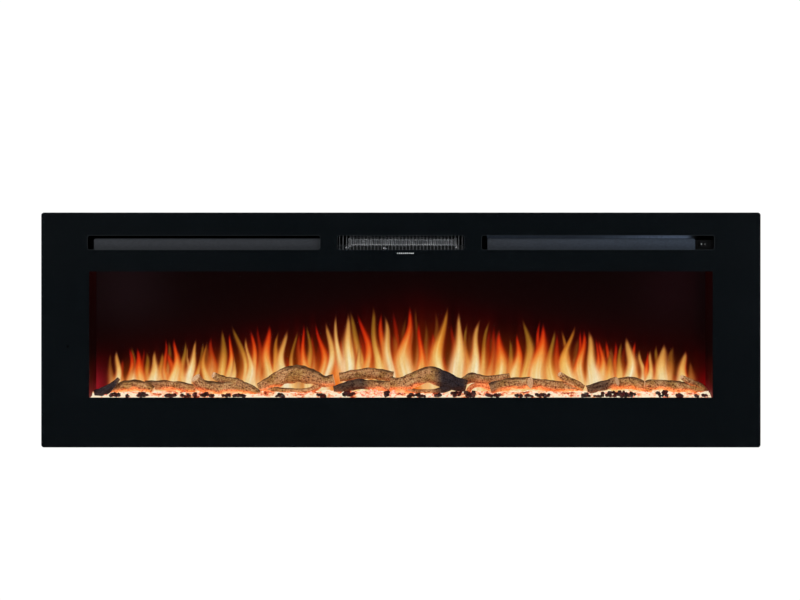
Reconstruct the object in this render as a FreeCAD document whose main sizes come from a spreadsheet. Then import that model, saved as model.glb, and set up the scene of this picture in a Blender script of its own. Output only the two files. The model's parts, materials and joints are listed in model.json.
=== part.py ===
"""A recessed linear electric fireplace with a black glass front, modelled as an assembly of separate pieces.

The frame: +X to the viewer's right, -Y out of the wall towards the room, +Z up. The origin is the middle
of the wall bracket's row of holes, on the wall's surface. Inside this file a place is given as x, fwd (how far the
point stands out from the wall) and up (how high it is above the glass's lower edge), all in millimetres.
"""

import FreeCAD
import Part
import Sketcher
import math
import os
import random
import re

V = FreeCAD.Vector
doc = FreeCAD.newDocument("Fireplace")

# ---------------------------------------------------------------------------------------------------
# Driving dimensions
# ---------------------------------------------------------------------------------------------------

DIMENSIONS = {
    # glass front
    "glass_wide": 1524,
    "glass_tall": 498,
    "glass_thick": 4,
    "glass_corner": 6,
    "glass_bevel": 0.5,
    "glass_low": -360,
    "glass_back": 148.3,
    "print_thick": 0.3,
    "print_inset": 0.3,
    "window_wide": 1321,
    "window_tall": 267,
    "window_up": 106,
    "slot_tall": 30,
    "slot_up": 419,
    "slot_corner": 5,
    "side_slot_long": 492,
    "side_slot_mid": 417,
    "heat_slot_long": 268,
    "lens_x": -706,
    "lens_up": 214,
    "lens_radius": 3,
    # casing
    "case_wide": 1448,
    "case_tall": 440,
    "case_up": 29,
    "case_back": 10,
    "case_front": 140,
    "sheet_thick": 1.2,
    "pan_lip": 12,
    "opening_rim": 4,
    "opening_drop": 14,
    "rim_depth": 7.5,
    "carrier_wide": 10,
    "carrier_wall": 1.5,
    "tab_wide": 30,
    # firebox
    "liner_thick": 3,
    "liner_gap": 0.5,
    "screen_back": 69,
    "screen_thick": 3,
    "shelf_up": 380,
    "bed_up": 93,
    "bed_front": 146.5,
    "bed_front_up": 99,
    "bed_rear_up": 116,
    "bed_wall": 2.5,
    # flame rotors
    "rotor_fwd": 40,
    "rotor_up": 80,
    "rotor_shaft": 2.5,
    "rotor_reach": 13,
    "end_plate_x": 668,
    "motor_radius": 25,
    "motor_deep": 22,
    "running_gap": 0.05,
    # heater
    "duct_half": 138,
    "duct_back": 36,
    "duct_low": 398,
    "duct_high": 463,
    "wheel_fwd": 68,
    "wheel_up": 430,
    "wheel_radius": 21,
    "wheel_half": 110,
    "element_left": -106,
    "element_long": 220,
    "element_low": 429.5,
    "element_tall": 12,
    "element_back": 110,
    "element_deep": 14,
    "fin_pitch": 4,
    "grille_pitch": 7.44,
    "grille_wire": 0.8,
    # controls
    "switch_x": 640.7,
    "switch_up": 431.2,
    "switch_wide": 21,
    "switch_tall": 15,
    "switch_pivot": 135.4,
    "rocker_half": 7.6,
    "rocker_tall": 11.2,
    "rocker_tilt": 9,
    # wall fixing
    "bracket_long": 1280,
    "bracket_tall": 60,
    "bracket_thick": 2,
    "stud_pitch": 406.4,
    "stud_hole": 3.25,
    "hook_wide": 24,
    "side_hole": 3,
    "side_hole_pitch": 300,
    "gland_fwd": 36,
    "gland_up": 60,
    "gland_bore": 4.1,
    "screw_radius": 1.95,
    "screw_hole": 2.1,
}

sheet = doc.addObject("Spreadsheet::Sheet", "Sheet")
for row, (alias, value) in enumerate(DIMENSIONS.items(), start=1):
    sheet.set(f"A{row}", alias)
    sheet.set(f"B{row}", str(value))
    sheet.setAlias(f"B{row}", alias)
doc.recompute()

ALIAS = re.compile(r"\b(" + "|".join(DIMENSIONS) + r")\b")
PARTS = {}


def cells(text):
    """An expression with every alias in it pointed at the spreadsheet."""
    return ALIAS.sub(r"Sheet.\1", str(text))


def value(text):
    """What an expression in aliases is worth now."""
    return float(sheet.evalExpression(cells(text)))


def bind(thing, **settings):
    """Binds properties to expressions; a double underscore stands for the dot of a sub-property."""
    for name, text in settings.items():
        thing.setExpression(name.replace("__", "."), cells(text))


def keep(thing, label):
    """Registers a finished object as a sub-part of the fireplace under its label."""
    thing.Label = label
    PARTS[label] = thing
    return thing


# ---------------------------------------------------------------------------------------------------
# Part primitives and booleans
# ---------------------------------------------------------------------------------------------------


def block(name, x, fwd, up, wide, deep, tall):
    """A box from x, fwd and up, which grows to the right, out from the wall and upwards."""
    box = doc.addObject("Part::Box", name)
    bind(box, Length=wide, Width=deep, Height=tall)
    bind(
        box,
        Placement__Base__x=x,
        Placement__Base__y=f"-({fwd}) - ({deep})",
        Placement__Base__z=f"glass_low + {up}",
    )
    return box


TURNS = {
    "right": (V(0, 1, 0), 90),
    "left": (V(0, 1, 0), -90),
    "forward": (V(1, 0, 0), 90),
    "back": (V(1, 0, 0), -90),
    "up": (V(0, 0, 1), 0),
    "down": (V(1, 0, 0), 180),
}


def rod(name, x, fwd, up, radius, length, way):
    """A cylinder from x, fwd and up that runs one of the ways in TURNS."""
    made = doc.addObject("Part::Cylinder", name)
    made.Placement = FreeCAD.Placement(V(), FreeCAD.Rotation(*TURNS[way]))
    bind(made, Radius=radius, Height=length)
    bind(made, Placement__Base__x=x, Placement__Base__y=f"-({fwd})", Placement__Base__z=f"glass_low + {up}")
    return made


def cut(name, base, *tools):
    made = doc.addObject("Part::Cut", name)
    made.Base = base
    made.Tool = tools[0] if len(tools) == 1 else together(name + "_tools", *tools)
    return made


def fuse(name, *things):
    made = doc.addObject("Part::MultiFuse", name)
    made.Shapes = list(things)
    made.Refine = True
    return made


def together(name, *things):
    made = doc.addObject("Part::Compound", name)
    made.Links = list(things)
    return made


def feature(name, shape):
    made = doc.addObject("Part::Feature", name)
    made.Shape = shape
    return made


def at(x, fwd, up):
    """The row-frame point of a place, for shapes made outside the primitives."""
    return V(x, -fwd, value("glass_low") + up)


# ---------------------------------------------------------------------------------------------------
# PartDesign bodies
# ---------------------------------------------------------------------------------------------------


def new_body(label):
    body = doc.addObject("PartDesign::Body", label)
    return keep(body, label)


def new_sketch(body, role, offset, name):
    """A sketch on one of the body's origin planes, moved along the plane's normal by an expression."""
    plane = next(f for f in body.Origin.OriginFeatures if f.Role == role)
    sketch = body.newObject("Sketcher::SketchObject", name)
    sketch.AttachmentSupport = (plane, [""])
    sketch.MapMode = "FlatFace"
    bind(sketch, AttachmentOffset__Base__z=offset)
    return sketch


def datum(sketch, kind, args, text):
    """Adds a dimension to a sketch and binds it to an expression."""
    index = sketch.addConstraint(Sketcher.Constraint(kind, *args, value(text)))
    sketch.setExpression(f"Constraints[{index}]", cells(text))


def rectangle(sketch, left, low, wide, tall):
    """A rectangle whose corner and sizes are expressions."""
    x, y, w, t = (value(text) for text in (left, low, wide, tall))
    first = sketch.GeometryCount
    corners = [V(x, y), V(x + w, y), V(x + w, y + t), V(x, y + t)]
    sketch.addGeometry([Part.LineSegment(corners[k], corners[(k + 1) % 4]) for k in range(4)], False)
    for k in range(4):
        sketch.addConstraint(Sketcher.Constraint("Coincident", first + k, 2, first + (k + 1) % 4, 1))
        way = "Horizontal" if k % 2 == 0 else "Vertical"
        sketch.addConstraint(Sketcher.Constraint(way, first + k))
    datum(sketch, "DistanceX", (-1, 1, first, 1), left)
    datum(sketch, "DistanceY", (-1, 1, first, 1), low)
    datum(sketch, "DistanceX", (first, 1, first, 2), wide)
    datum(sketch, "DistanceY", (first + 1, 1, first + 1, 2), tall)


def rounded(sketch, left, low, wide, tall, radius):
    """A rectangle with round corners, all of its sizes expressions."""
    x, y, w, t, r = (value(text) for text in (left, low, wide, tall, radius))
    first = sketch.GeometryCount
    ends = [
        (V(x + r, y), V(x + w - r, y)),
        (V(x + w, y + r), V(x + w, y + t - r)),
        (V(x + w - r, y + t), V(x + r, y + t)),
        (V(x, y + t - r), V(x, y + r)),
    ]
    centres = [(x + w - r, y + r), (x + w - r, y + t - r), (x + r, y + t - r), (x + r, y + r)]
    arcs = []
    for k, (cx, cy) in enumerate(centres):
        start = math.radians(90 * k - 90)
        arcs.append(Part.ArcOfCircle(Part.Circle(V(cx, cy), V(0, 0, 1), r), start, start + math.pi / 2))
    sketch.addGeometry([Part.LineSegment(*pair) for pair in ends] + arcs, False)
    for k in range(4):
        sketch.addConstraint(Sketcher.Constraint("Horizontal" if k % 2 == 0 else "Vertical", first + k))
        sketch.addConstraint(Sketcher.Constraint("Tangent", first + k, 2, first + 4 + k, 1))
        sketch.addConstraint(Sketcher.Constraint("Tangent", first + 4 + k, 2, first + (k + 1) % 4, 1))
        if k:
            sketch.addConstraint(Sketcher.Constraint("Equal", first + 4, first + 4 + k))
    datum(sketch, "Radius", (first + 4,), radius)
    datum(sketch, "DistanceX", (-1, 1, first + 3, 1), left)
    datum(sketch, "DistanceY", (-1, 1, first, 1), low)
    datum(sketch, "DistanceX", (first + 3, 1, first + 1, 1), wide)
    datum(sketch, "DistanceY", (first, 1, first + 2, 1), tall)


def circle(sketch, x, y, radius):
    """A circle whose centre and radius are expressions."""
    index = sketch.addGeometry(Part.Circle(V(value(x), value(y)), V(0, 0, 1), value(radius)), False)
    datum(sketch, "Radius", (index,), radius)
    datum(sketch, "DistanceX", (-1, 1, index, 3), x)
    datum(sketch, "DistanceY", (-1, 1, index, 3), y)


def polygon(sketch, points):
    """A closed outline through points that are pairs of expressions."""
    places = [V(value(x), value(y)) for x, y in points]
    count = len(places)
    first = sketch.GeometryCount
    sketch.addGeometry([Part.LineSegment(places[k], places[(k + 1) % count]) for k in range(count)], False)
    for k in range(count):
        sketch.addConstraint(Sketcher.Constraint("Coincident", first + k, 2, first + (k + 1) % count, 1))
    for k, (x, y) in enumerate(points):
        datum(sketch, "DistanceX", (-1, 1, first + k, 1), x)
        datum(sketch, "DistanceY", (-1, 1, first + k, 1), y)


def pad(body, sketch, length):
    made = body.newObject("PartDesign::Pad", sketch.Name + "_pad")
    made.Profile = sketch
    bind(made, Length=length)
    sketch.Visibility = False
    return made


def pocket(body, sketch, length=None):
    """Cuts a sketch against its normal, by a depth or, with none, right through. It must remove something."""
    doc.recompute()
    before = body.Shape.Volume
    made = body.newObject("PartDesign::Pocket", sketch.Name + "_pocket")
    made.Profile = sketch
    if length is None:
        made.Type = "ThroughAll"
    else:
        bind(made, Length=length)
    doc.recompute()
    if body.Shape.Volume > before - 1e-3:
        raise RuntimeError(f"{made.Name} cut nothing")
    return made


def row_of(body, original, sketch, axis, length, count):
    """Repeats a feature in a straight line along one of its sketch's axes."""
    made = body.newObject("PartDesign::LinearPattern", original.Name + "_row")
    made.Originals = [original]
    made.Direction = (sketch, [axis])
    bind(made, Length=length)
    made.Occurrences = count
    body.Tip = made
    return made


# ---------------------------------------------------------------------------------------------------
# Screws: one table sets both the screws and the holes that they pass through
# ---------------------------------------------------------------------------------------------------


TAB_HEIGHTS = (84, 249, 408)


def screw_places():
    """Where each pan-head screw's head seats, and the way its shank runs."""
    half = value("case_wide / 2")
    top, low = value("case_up + case_tall"), value("case_up")
    tab = value("carrier_wall")
    rear, front = value("case_back + pan_lip / 2"), value("case_front - 7.2")
    places = []
    for side, way in ((1, "left"), (-1, "right")):
        for up in TAB_HEIGHTS:
            places.append((side * (half + tab), front - 2.8, up, way))
        for up in (70, 249, 430):
            places.append((side * half, rear, up, way))
    for x in (-600, -200, 200, 600):
        for fwd in (rear, front):
            places.append((x, fwd, top, "down"))
            places.append((x, fwd, low, "up"))
    lip_front = value("element_back + element_deep + 3.2")
    for x, up in ((-115, 423), (-34, 421), (120, 423)):
        places.append((x, lip_front, up, "back"))
    return places


def screw_shape():
    """An M4 pan-head screw standing on its head, with a cross recess, its shank along +Z."""
    head = Part.makeCylinder(3.6, 2.4, V(0, 0, -2.4))
    rim = [e for e in head.Edges if abs(e.CenterOfMass.z + 2.4) < 1e-6]
    head = head.makeFillet(1.3, rim)
    shank = Part.makeCylinder(value("screw_radius"), 8.0)
    made = head.fuse(shank).removeSplitter()
    for wide, deep in ((3.6, 0.7), (0.7, 3.6)):
        made = made.cut(Part.makeBox(wide, deep, 1.2, V(-wide / 2, -deep / 2, -2.4)))
    return made


def placed(shape, x, fwd, up, way):
    copy = shape.copy()
    copy.Placement = FreeCAD.Placement(at(x, fwd, up), FreeCAD.Rotation(*TURNS[way]))
    return copy


def make_screws():
    pattern = screw_shape()
    keep(feature("Screws", Part.makeCompound([placed(pattern, *place) for place in screw_places()])), "screws")


def make_screw_holes():
    drill = Part.makeCylinder(value("screw_hole"), 9.0, V(0, 0, -0.5))
    return feature("ScrewHoles", Part.makeCompound([placed(drill, *place) for place in screw_places()]))


# ---------------------------------------------------------------------------------------------------
# Glass front
# ---------------------------------------------------------------------------------------------------


def slot_outlines(sketch, grow="0"):
    """The three slots above the window: air in, warm air out, air in."""
    for middle, long in (
        ("-side_slot_mid", "side_slot_long"),
        ("0", "heat_slot_long"),
        ("side_slot_mid", "side_slot_long"),
    ):
        rounded(
            sketch,
            f"{middle} - ({long}) / 2 - {grow}",
            f"glass_low + slot_up - {grow}",
            f"{long} + 2 * {grow}",
            f"slot_tall + 2 * {grow}",
            f"slot_corner + {grow}",
        )


def make_front_glass():
    body = new_body("front_glass")
    outline = new_sketch(body, "XZ_Plane", "glass_back", "GlassOutline")
    rounded(outline, "-glass_wide / 2", "glass_low", "glass_wide", "glass_tall", "glass_corner")
    pane = pad(body, outline, "glass_thick")
    doc.recompute()
    faces = [f"Face{k}" for k, f in enumerate(pane.Shape.Faces, 1) if abs(f.normalAt(0, 0).y) > 0.9]
    bevel = body.newObject("PartDesign::Chamfer", "GlassBevel")
    bevel.Base = (pane, faces)
    bind(bevel, Size="glass_bevel")
    slots = new_sketch(body, "XZ_Plane", "glass_back + glass_thick", "GlassSlots")
    slot_outlines(slots)
    pocket(body, slots)


def make_glass_print():
    body = new_body("glass_border_print")
    outline = new_sketch(body, "XZ_Plane", "glass_back - print_thick", "PrintOutline")
    rounded(
        outline,
        "-glass_wide / 2 + print_inset",
        "glass_low + print_inset",
        "glass_wide - 2 * print_inset",
        "glass_tall - 2 * print_inset",
        "glass_corner",
    )
    rectangle(outline, "-window_wide / 2", "glass_low + window_up", "window_wide", "window_tall")
    circle(outline, "lens_x", "glass_low + lens_up", "lens_radius - 0.6")
    pad(body, outline, "print_thick")
    slots = new_sketch(body, "XZ_Plane", "glass_back", "PrintSlots")
    slot_outlines(slots, "print_inset")
    pocket(body, slots)


def make_glass_carrier(screw_holes):
    """A U-channel ring bonded to the glass, with screw tabs that reach back over the casing's sides."""
    deep = "glass_back - print_thick - case_front"
    ring = "case_wide / 2 - 2"
    low, tall = "case_up + 2", "case_tall - 4"
    outer = block("CarrierOuter", f"-({ring})", "case_front", low, f"2 * ({ring})", deep, tall)
    middle = block(
        "CarrierHole",
        f"-({ring}) + carrier_wide",
        "case_front",
        f"{low} + carrier_wide",
        f"2 * ({ring}) - 2 * carrier_wide",
        deep,
        f"{tall} - 2 * carrier_wide",
    )
    groove_out = block(
        "GrooveOuter",
        f"-({ring}) + carrier_wall",
        "case_front",
        f"{low} + carrier_wall",
        f"2 * ({ring}) - 2 * carrier_wall",
        f"{deep} - carrier_wall",
        f"{tall} - 2 * carrier_wall",
    )
    groove_in = block(
        "GrooveInner",
        f"-({ring}) + carrier_wide - carrier_wall",
        "case_front",
        f"{low} + carrier_wide - carrier_wall",
        f"2 * ({ring}) - 2 * carrier_wide + 2 * carrier_wall",
        deep,
        f"{tall} - 2 * carrier_wide + 2 * carrier_wall",
    )
    channel = cut("CarrierChannel", cut("CarrierRing", outer, middle), cut("CarrierGroove", groove_out, groove_in))
    pieces = [channel]
    for side in (1, -1):
        for k, up in enumerate(TAB_HEIGHTS):
            name = f"Tab{'R' if side > 0 else 'L'}{k}"
            low_edge = f"{up} - tab_wide / 2"
            x = "case_wide / 2" if side > 0 else "-case_wide / 2 - carrier_wall"
            ear = "case_wide / 2 - 4" if side > 0 else "-case_wide / 2 - carrier_wall"
            deep = "18 + carrier_wall"
            pieces.append(block(name, x, "case_front - 18", low_edge, "carrier_wall", deep, "tab_wide"))
            pieces.append(
                block(name + "Ear", ear, "case_front", low_edge, "4 + carrier_wall", "carrier_wall", "tab_wide")
            )
    keep(cut("GlassCarrier", fuse("CarrierBody", *pieces), screw_holes), "glass_carrier")


# ---------------------------------------------------------------------------------------------------
# Casing
# ---------------------------------------------------------------------------------------------------


def pan_outline(sketch, inset):
    """The pans' outline, which sits inside the top, bottom and side panels, shrunk by an inset."""
    rectangle(
        sketch,
        f"-case_wide / 2 + sheet_thick + {inset}",
        f"glass_low + case_up + sheet_thick + {inset}",
        f"case_wide - 2 * sheet_thick - 2 * {inset}",
        f"case_tall - 2 * sheet_thick - 2 * {inset}",
    )


def make_rear_panel(screw_holes):
    """The casing's back: a shallow pan with windows for the wall hooks, bumper holes and two rows of vents."""
    body = doc.addObject("PartDesign::Body", "RearPan")
    outline = new_sketch(body, "XZ_Plane", "case_back", "RearOutline")
    pan_outline(outline, "0")
    pad(body, outline, "pan_lip")
    hollow = new_sketch(body, "XZ_Plane", "case_back + pan_lip", "RearHollow")
    pan_outline(hollow, "sheet_thick")
    pocket(body, hollow, "pan_lip - sheet_thick")
    hooks = new_sketch(body, "XZ_Plane", "case_back + pan_lip", "HookWindows")
    for x in HOOKS:
        rectangle(hooks, f"{x} - hook_wide / 2 - 3", "-34", "hook_wide + 6", "34")
    for x, up in BUMPERS:
        circle(hooks, x, f"glass_low + {up}", "3")
    pocket(body, hooks)
    for k, up in enumerate(REAR_VENT_ROWS):
        vent = new_sketch(body, "XZ_Plane", "case_back + pan_lip", f"RearVent{k}")
        rounded(vent, "-590", f"glass_low + {up}", "80", "6", "2.9")
        row_of(body, pocket(body, vent), vent, "H_Axis", "1100", 11)
    keep(cut("RearPanel", body, screw_holes), "rear_panel")


HOOKS = (-450, -150, 150, 450)
BUMPERS = ((-680, 60), (680, 60), (-680, 436), (680, 436))
REAR_VENT_ROWS = (46, 58, 394, 406)


def make_front_frame(screw_holes):
    """The casing's front: a pan with the window opening, a rim out to the glass, and the slot openings."""
    body = doc.addObject("PartDesign::Body", "FrontPan")
    outline = new_sketch(body, "XZ_Plane", "case_front - pan_lip", "FrontOutline")
    pan_outline(outline, "0")
    pad(body, outline, "pan_lip - sheet_thick")
    face = new_sketch(body, "XZ_Plane", "case_front - sheet_thick", "FrontFace")
    rectangle(face, "-case_wide / 2", "glass_low + case_up", "case_wide", "case_tall")
    pad(body, face, "sheet_thick")
    hollow = new_sketch(body, "XZ_Plane", "case_front - sheet_thick", "FrontHollow")
    pan_outline(hollow, "sheet_thick")
    pocket(body, hollow, "pan_lip - sheet_thick")
    left, low = "-window_wide / 2 - opening_rim", "glass_low + window_up - opening_drop"
    wide, tall = "window_wide + 2 * opening_rim", "window_tall + opening_drop + opening_rim"
    rim = new_sketch(body, "XZ_Plane", "case_front", "WindowRim")
    rectangle(
        rim,
        f"{left} - sheet_thick",
        f"{low} - sheet_thick",
        f"{wide} + 2 * sheet_thick",
        f"{tall} + 2 * sheet_thick",
    )
    pad(body, rim, "rim_depth")
    holes = new_sketch(body, "XZ_Plane", "case_front + rim_depth", "FrontOpenings")
    rectangle(holes, left, low, wide, tall)
    for side in ("-1", "1"):
        rectangle(
            holes,
            f"{side} * side_slot_mid - side_slot_long / 2 - 6",
            "glass_low + slot_up - 7",
            "side_slot_long + 12",
            "slot_tall + 13",
        )
    rectangle(holes, "-heat_slot_long / 2 - 2", "glass_low + slot_up - 4", "heat_slot_long + 4", "slot_tall + 8")
    circle(holes, "lens_x", "glass_low + lens_up", "lens_radius + 0.1")
    pocket(body, holes)
    keep(cut("FrontFrame", body, screw_holes), "front_frame")


def make_flat_panels(screw_holes):
    """The top and bottom with their vents, and the two sides with their stud holes."""
    deep = "case_front - sheet_thick - case_back"
    for label, up, count, start in (
        ("top_panel", "case_up + case_tall - sheet_thick", 12, -282),
        ("bottom_panel", "case_up", 18, -522),
    ):
        plate = block(label + "_sheet", "-case_wide / 2", "case_back", up, "case_wide", deep, "sheet_thick")
        pitch = 2 * abs(start) / (count - 0.5)
        vents = [
            block(f"{label}_vent{k}", start + k * pitch, "60", f"{up} - 1", "22", "40", "4") for k in range(count)
        ]
        keep(cut(label + "_cut", plate, screw_holes, *vents), label)
    for label, side in (("side_panel_left", -1), ("side_panel_right", 1)):
        x = "case_wide / 2 - sheet_thick" if side > 0 else "-case_wide / 2"
        plate = block(
            label + "_sheet",
            x,
            "case_back",
            "case_up + sheet_thick",
            "sheet_thick",
            deep,
            "case_tall - 2 * sheet_thick",
        )
        start = f"{x} - 1"
        tools = [screw_holes]
        for k, up in enumerate(("249 - side_hole_pitch / 2", "249 + side_hole_pitch / 2")):
            tools.append(rod(f"{label}_hole{k}", start, "60", up, "side_hole", "4", "right"))
        if side > 0:
            tools.append(rod("gland_hole", start, "gland_fwd", "gland_up", "8", "4", "right"))
        keep(cut(label + "_cut", plate, *tools), label)


def make_shelves():
    """The heater shelf that closes the firebox above, and the shelf that the ember tray stands on."""
    reach = "case_wide / 2 - 2 * sheet_thick - 0.2"
    floor = block(
        "ShelfSheet",
        f"-({reach})",
        "case_back + sheet_thick",
        "shelf_up",
        f"2 * ({reach})",
        "case_front - 2 * sheet_thick - case_back",
        "sheet_thick",
    )
    passes = [rod(f"ShelfPass{k}", 700, fwd, "shelf_up - 1", 6, 4, "up") for k, fwd in enumerate((36, 56))]
    keep(cut("HeaterShelf", floor, *passes), "heater_shelf")
    keep(
        block(
            "TrayShelf",
            f"-({reach})",
            "screen_back - 1",
            "bed_up - sheet_thick",
            f"2 * ({reach}) - 30",
            "case_front - sheet_thick - screen_back + 1",
            "sheet_thick",
        ),
        "tray_shelf",
    )


# ---------------------------------------------------------------------------------------------------
# Firebox: screen, liners, ember tray, chips and logs
# ---------------------------------------------------------------------------------------------------


def make_firebox():
    tall = "shelf_up - bed_up - 0.2"
    front = "screen_back + screen_thick"
    inner = "window_wide / 2 - liner_gap"
    keep(
        block(
            "FlameScreen",
            f"-({inner}) - liner_thick",
            "screen_back",
            "bed_up",
            f"2 * ({inner}) + 2 * liner_thick",
            "screen_thick",
            tall,
        ),
        "flame_screen",
    )
    for label, x in (("side_liner_left", f"-({inner}) - liner_thick"), ("side_liner_right", inner)):
        liner_tall = "window_up + window_tall + opening_rim - 0.5 - bed_up"
        keep(block(label + "_sheet", x, front, "bed_up", "liner_thick", f"147.3 - ({front})", liner_tall), label)
    make_flame_template()
    make_ember_tray()


def make_flame_template():
    """A polished sheet behind the screen with a row of flame-shaped openings."""
    body = new_body("flame_template")
    outline = new_sketch(body, "XZ_Plane", "56", "TemplateOutline")
    rectangle(outline, "-end_plate_x", "glass_low + 100", "2 * end_plate_x", "270")
    pad(body, outline, "0.6")
    flames = new_sketch(body, "XZ_Plane", "56.6", "FlameOpening")
    polygon(
        flames,
        [
            ("-640", "glass_low + 112"),
            ("-612", "glass_low + 112"),
            ("-606", "glass_low + 150"),
            ("-614", "glass_low + 190"),
            ("-611", "glass_low + 232"),
            ("-625", "glass_low + 196"),
            ("-633", "glass_low + 166"),
            ("-639", "glass_low + 214"),
            ("-647", "glass_low + 150"),
        ],
    )
    row_of(body, pocket(body, flames), flames, "H_Axis", "1252", 25)


def make_ember_tray():
    """The translucent moulded bed, a hollow wedge that rises towards the screen."""
    body = new_body("ember_tray")
    long = "window_wide - 2 * liner_gap - 2"
    rear = "screen_back + screen_thick + 2"
    profile = new_sketch(body, "YZ_Plane", f"-({long}) / 2", "TrayProfile")
    polygon(
        profile,
        [
            ("-bed_front", "glass_low + bed_up"),
            (f"-({rear})", "glass_low + bed_up"),
            (f"-({rear})", "glass_low + bed_rear_up"),
            ("-bed_front", "glass_low + bed_front_up"),
        ],
    )
    pad(body, profile, long)
    hollow = new_sketch(body, "YZ_Plane", f"({long}) / 2 - bed_wall", "TrayHollow")
    polygon(
        hollow,
        [
            ("-bed_front + bed_wall", "glass_low + bed_up - 1"),
            (f"-({rear}) - bed_wall", "glass_low + bed_up - 1"),
            (f"-({rear}) - bed_wall", "glass_low + bed_rear_up - bed_wall"),
            ("-bed_front + bed_wall", "glass_low + bed_front_up - bed_wall"),
        ],
    )
    pocket(body, hollow, f"{long} - 2 * bed_wall")


def bed_height(fwd):
    """How high the tray's sloping top is at a distance from the wall."""
    front, rear = value("bed_front"), value("screen_back + screen_thick + 2")
    low, high = value("bed_front_up"), value("bed_rear_up")
    return low + (front - fwd) * (high - low) / (front - rear)


def make_ember_chips():
    """Loose chips of glass and char in a band along the front of the tray."""
    chance = random.Random(7)
    count = 54
    pitch = (value("window_wide") - 40) / count
    chips = []
    for k in range(count):
        size = chance.uniform(6, 9)
        tall = chance.uniform(5, 10)
        x = -value("window_wide") / 2 + 20 + (k + 0.5) * pitch + chance.uniform(-4, 4)
        chip = Part.makeBox(size * 1.5, size, tall, V(-size * 0.75, -size / 2, 0))
        chip = chip.makeChamfer(size * 0.22, chip.Edges[:8])
        chip.rotate(V(), V(0, 0, 1), chance.uniform(-20, 20))
        fwd = 138.5 + chance.uniform(-1.5, 0.5)
        chip.translate(at(x, fwd, bed_height(fwd - 0.8 * size)))
        chips.append(chip)
    keep(feature("EmberChips", Part.makeCompound(chips)), "ember_chips")


# Each limb is a line of stations: x, fwd, up and radius. The first limb of a log is its trunk.
LOGS = {
    "log_01": [
        [(-653, 124, 113, 8), (-633, 124, 118, 9.5), (-616, 123, 131, 6.5), (-602, 121, 145, 3.5)],
    ],
    "log_02": [
        [
            (-645, 104, 118, 6), (-614, 104, 122, 11), (-579, 104, 128.5, 12), (-549, 106, 126, 11),
            (-531, 108, 118.5, 8),
        ],
    ],
    "log_03": [
        [(-552, 84, 131, 8), (-509, 86, 128, 10.5), (-471, 93, 124.5, 11), (-439, 99, 120.5, 9)],
    ],
    "log_04": [
        [
            (-440, 114, 146, 11), (-425, 114, 129, 13), (-397, 114, 122.5, 15), (-361, 114, 124, 15.5),
            (-328, 116, 121.5, 13), (-302, 119, 112.5, 6),
        ],
        [(-402, 108, 152, 6.5), (-384, 110, 142, 8.5), (-355, 113, 134, 11.5), (-334, 115, 125, 10.5)],
    ],
    "log_05": [
        [
            (-305, 100, 123, 10.5), (-277, 100, 136, 14.5), (-247, 100, 150, 17), (-216, 100, 153, 18),
            (-187, 100, 145.5, 15), (-163, 101, 137.5, 12), (-144, 102, 141, 11.5),
        ],
        [
            (-297, 101, 124, 9), (-266, 104, 117.5, 8), (-225, 105, 116, 6.5), (-195, 104, 118, 7),
            (-175, 102, 131, 8),
        ],
    ],
    "log_06": [
        [(-132, 88, 146, 10), (-99, 88, 151, 11), (-62, 88, 154, 11.5), (-21, 88, 146, 10.5)],
    ],
    "log_07": [
        [
            (-144, 112, 122, 6.5), (-119, 112, 127, 10), (-94, 112, 132.5, 11.5), (-75, 112, 132, 10),
            (-49, 112, 129, 10), (-26, 112, 125, 9.5),
        ],
    ],
    "log_08": [
        [
            (-20, 112, 132, 16.5), (6, 112, 131, 16), (32, 112, 143, 17), (62, 112, 151.5, 18),
            (90, 112, 144, 17), (116, 112, 134, 15), (140, 112, 128, 12),
        ],
        [(0, 114, 128, 10), (24, 115, 118.5, 8), (61, 115, 116.5, 7), (93, 114, 122, 8), (109, 113, 131, 10)],
    ],
    "log_09": [
        [(133, 88, 136, 9), (151, 88, 144, 11), (181, 88, 140, 9), (214, 88, 143.5, 8), (235, 88, 149, 5.5)],
        [(143, 96, 119.5, 7.5), (149, 96, 127, 8), (168, 96, 129.5, 8), (190, 96, 124, 8)],
    ],
    "log_10": [
        [(191, 114, 122, 12), (212, 114, 128, 13), (238, 114, 133, 12.5), (273, 114, 138, 11)],
    ],
    "log_11": [
        [(279, 92, 133, 10.5), (317, 92, 128.5, 12), (347, 93, 125, 12), (380, 96, 121.5, 9.5)],
        [(341, 100, 153, 5), (354, 100, 142.5, 7.5), (372, 99, 133, 9.5), (388, 99, 123, 10)],
    ],
    "log_12": [
        [(398, 114, 120.5, 9.5), (426, 114, 127.5, 10.5), (463, 113, 139, 9)],
    ],
    "log_13": [
        [
            (452, 90, 128, 9.5), (477, 90, 133, 12.5), (502, 92, 133, 13), (527, 96, 123.5, 11.5),
            (541, 98, 120, 7.5),
        ],
    ],
    "log_14": [
        [
            (522, 114, 133, 6.5), (538, 113.5, 132.5, 10), (576, 111, 128.5, 11.5), (620, 110, 122.5, 11.5),
            (654, 108, 116.5, 7.5),
        ],
        [(601, 114, 148, 4.5), (617, 113, 138, 6.8), (641, 111, 125.5, 8), (654, 109, 116, 5.5)],
    ],
}


PEG_RADIUS = 2.5


def ring(centre, way, radius):
    """A circle square to a direction, its seam always on the upper side so that lofts don't twist."""
    side = way.cross(V(0, 0, 1)).normalize()
    over = side.cross(way)
    rows = [(over[k], side[k], way[k], 0) for k in range(3)]
    turn = FreeCAD.Rotation(FreeCAD.Matrix(*rows[0], *rows[1], *rows[2]))
    wire = Part.Wire(Part.makeCircle(radius))
    wire.Placement = FreeCAD.Placement(centre, turn)
    return wire


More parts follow.
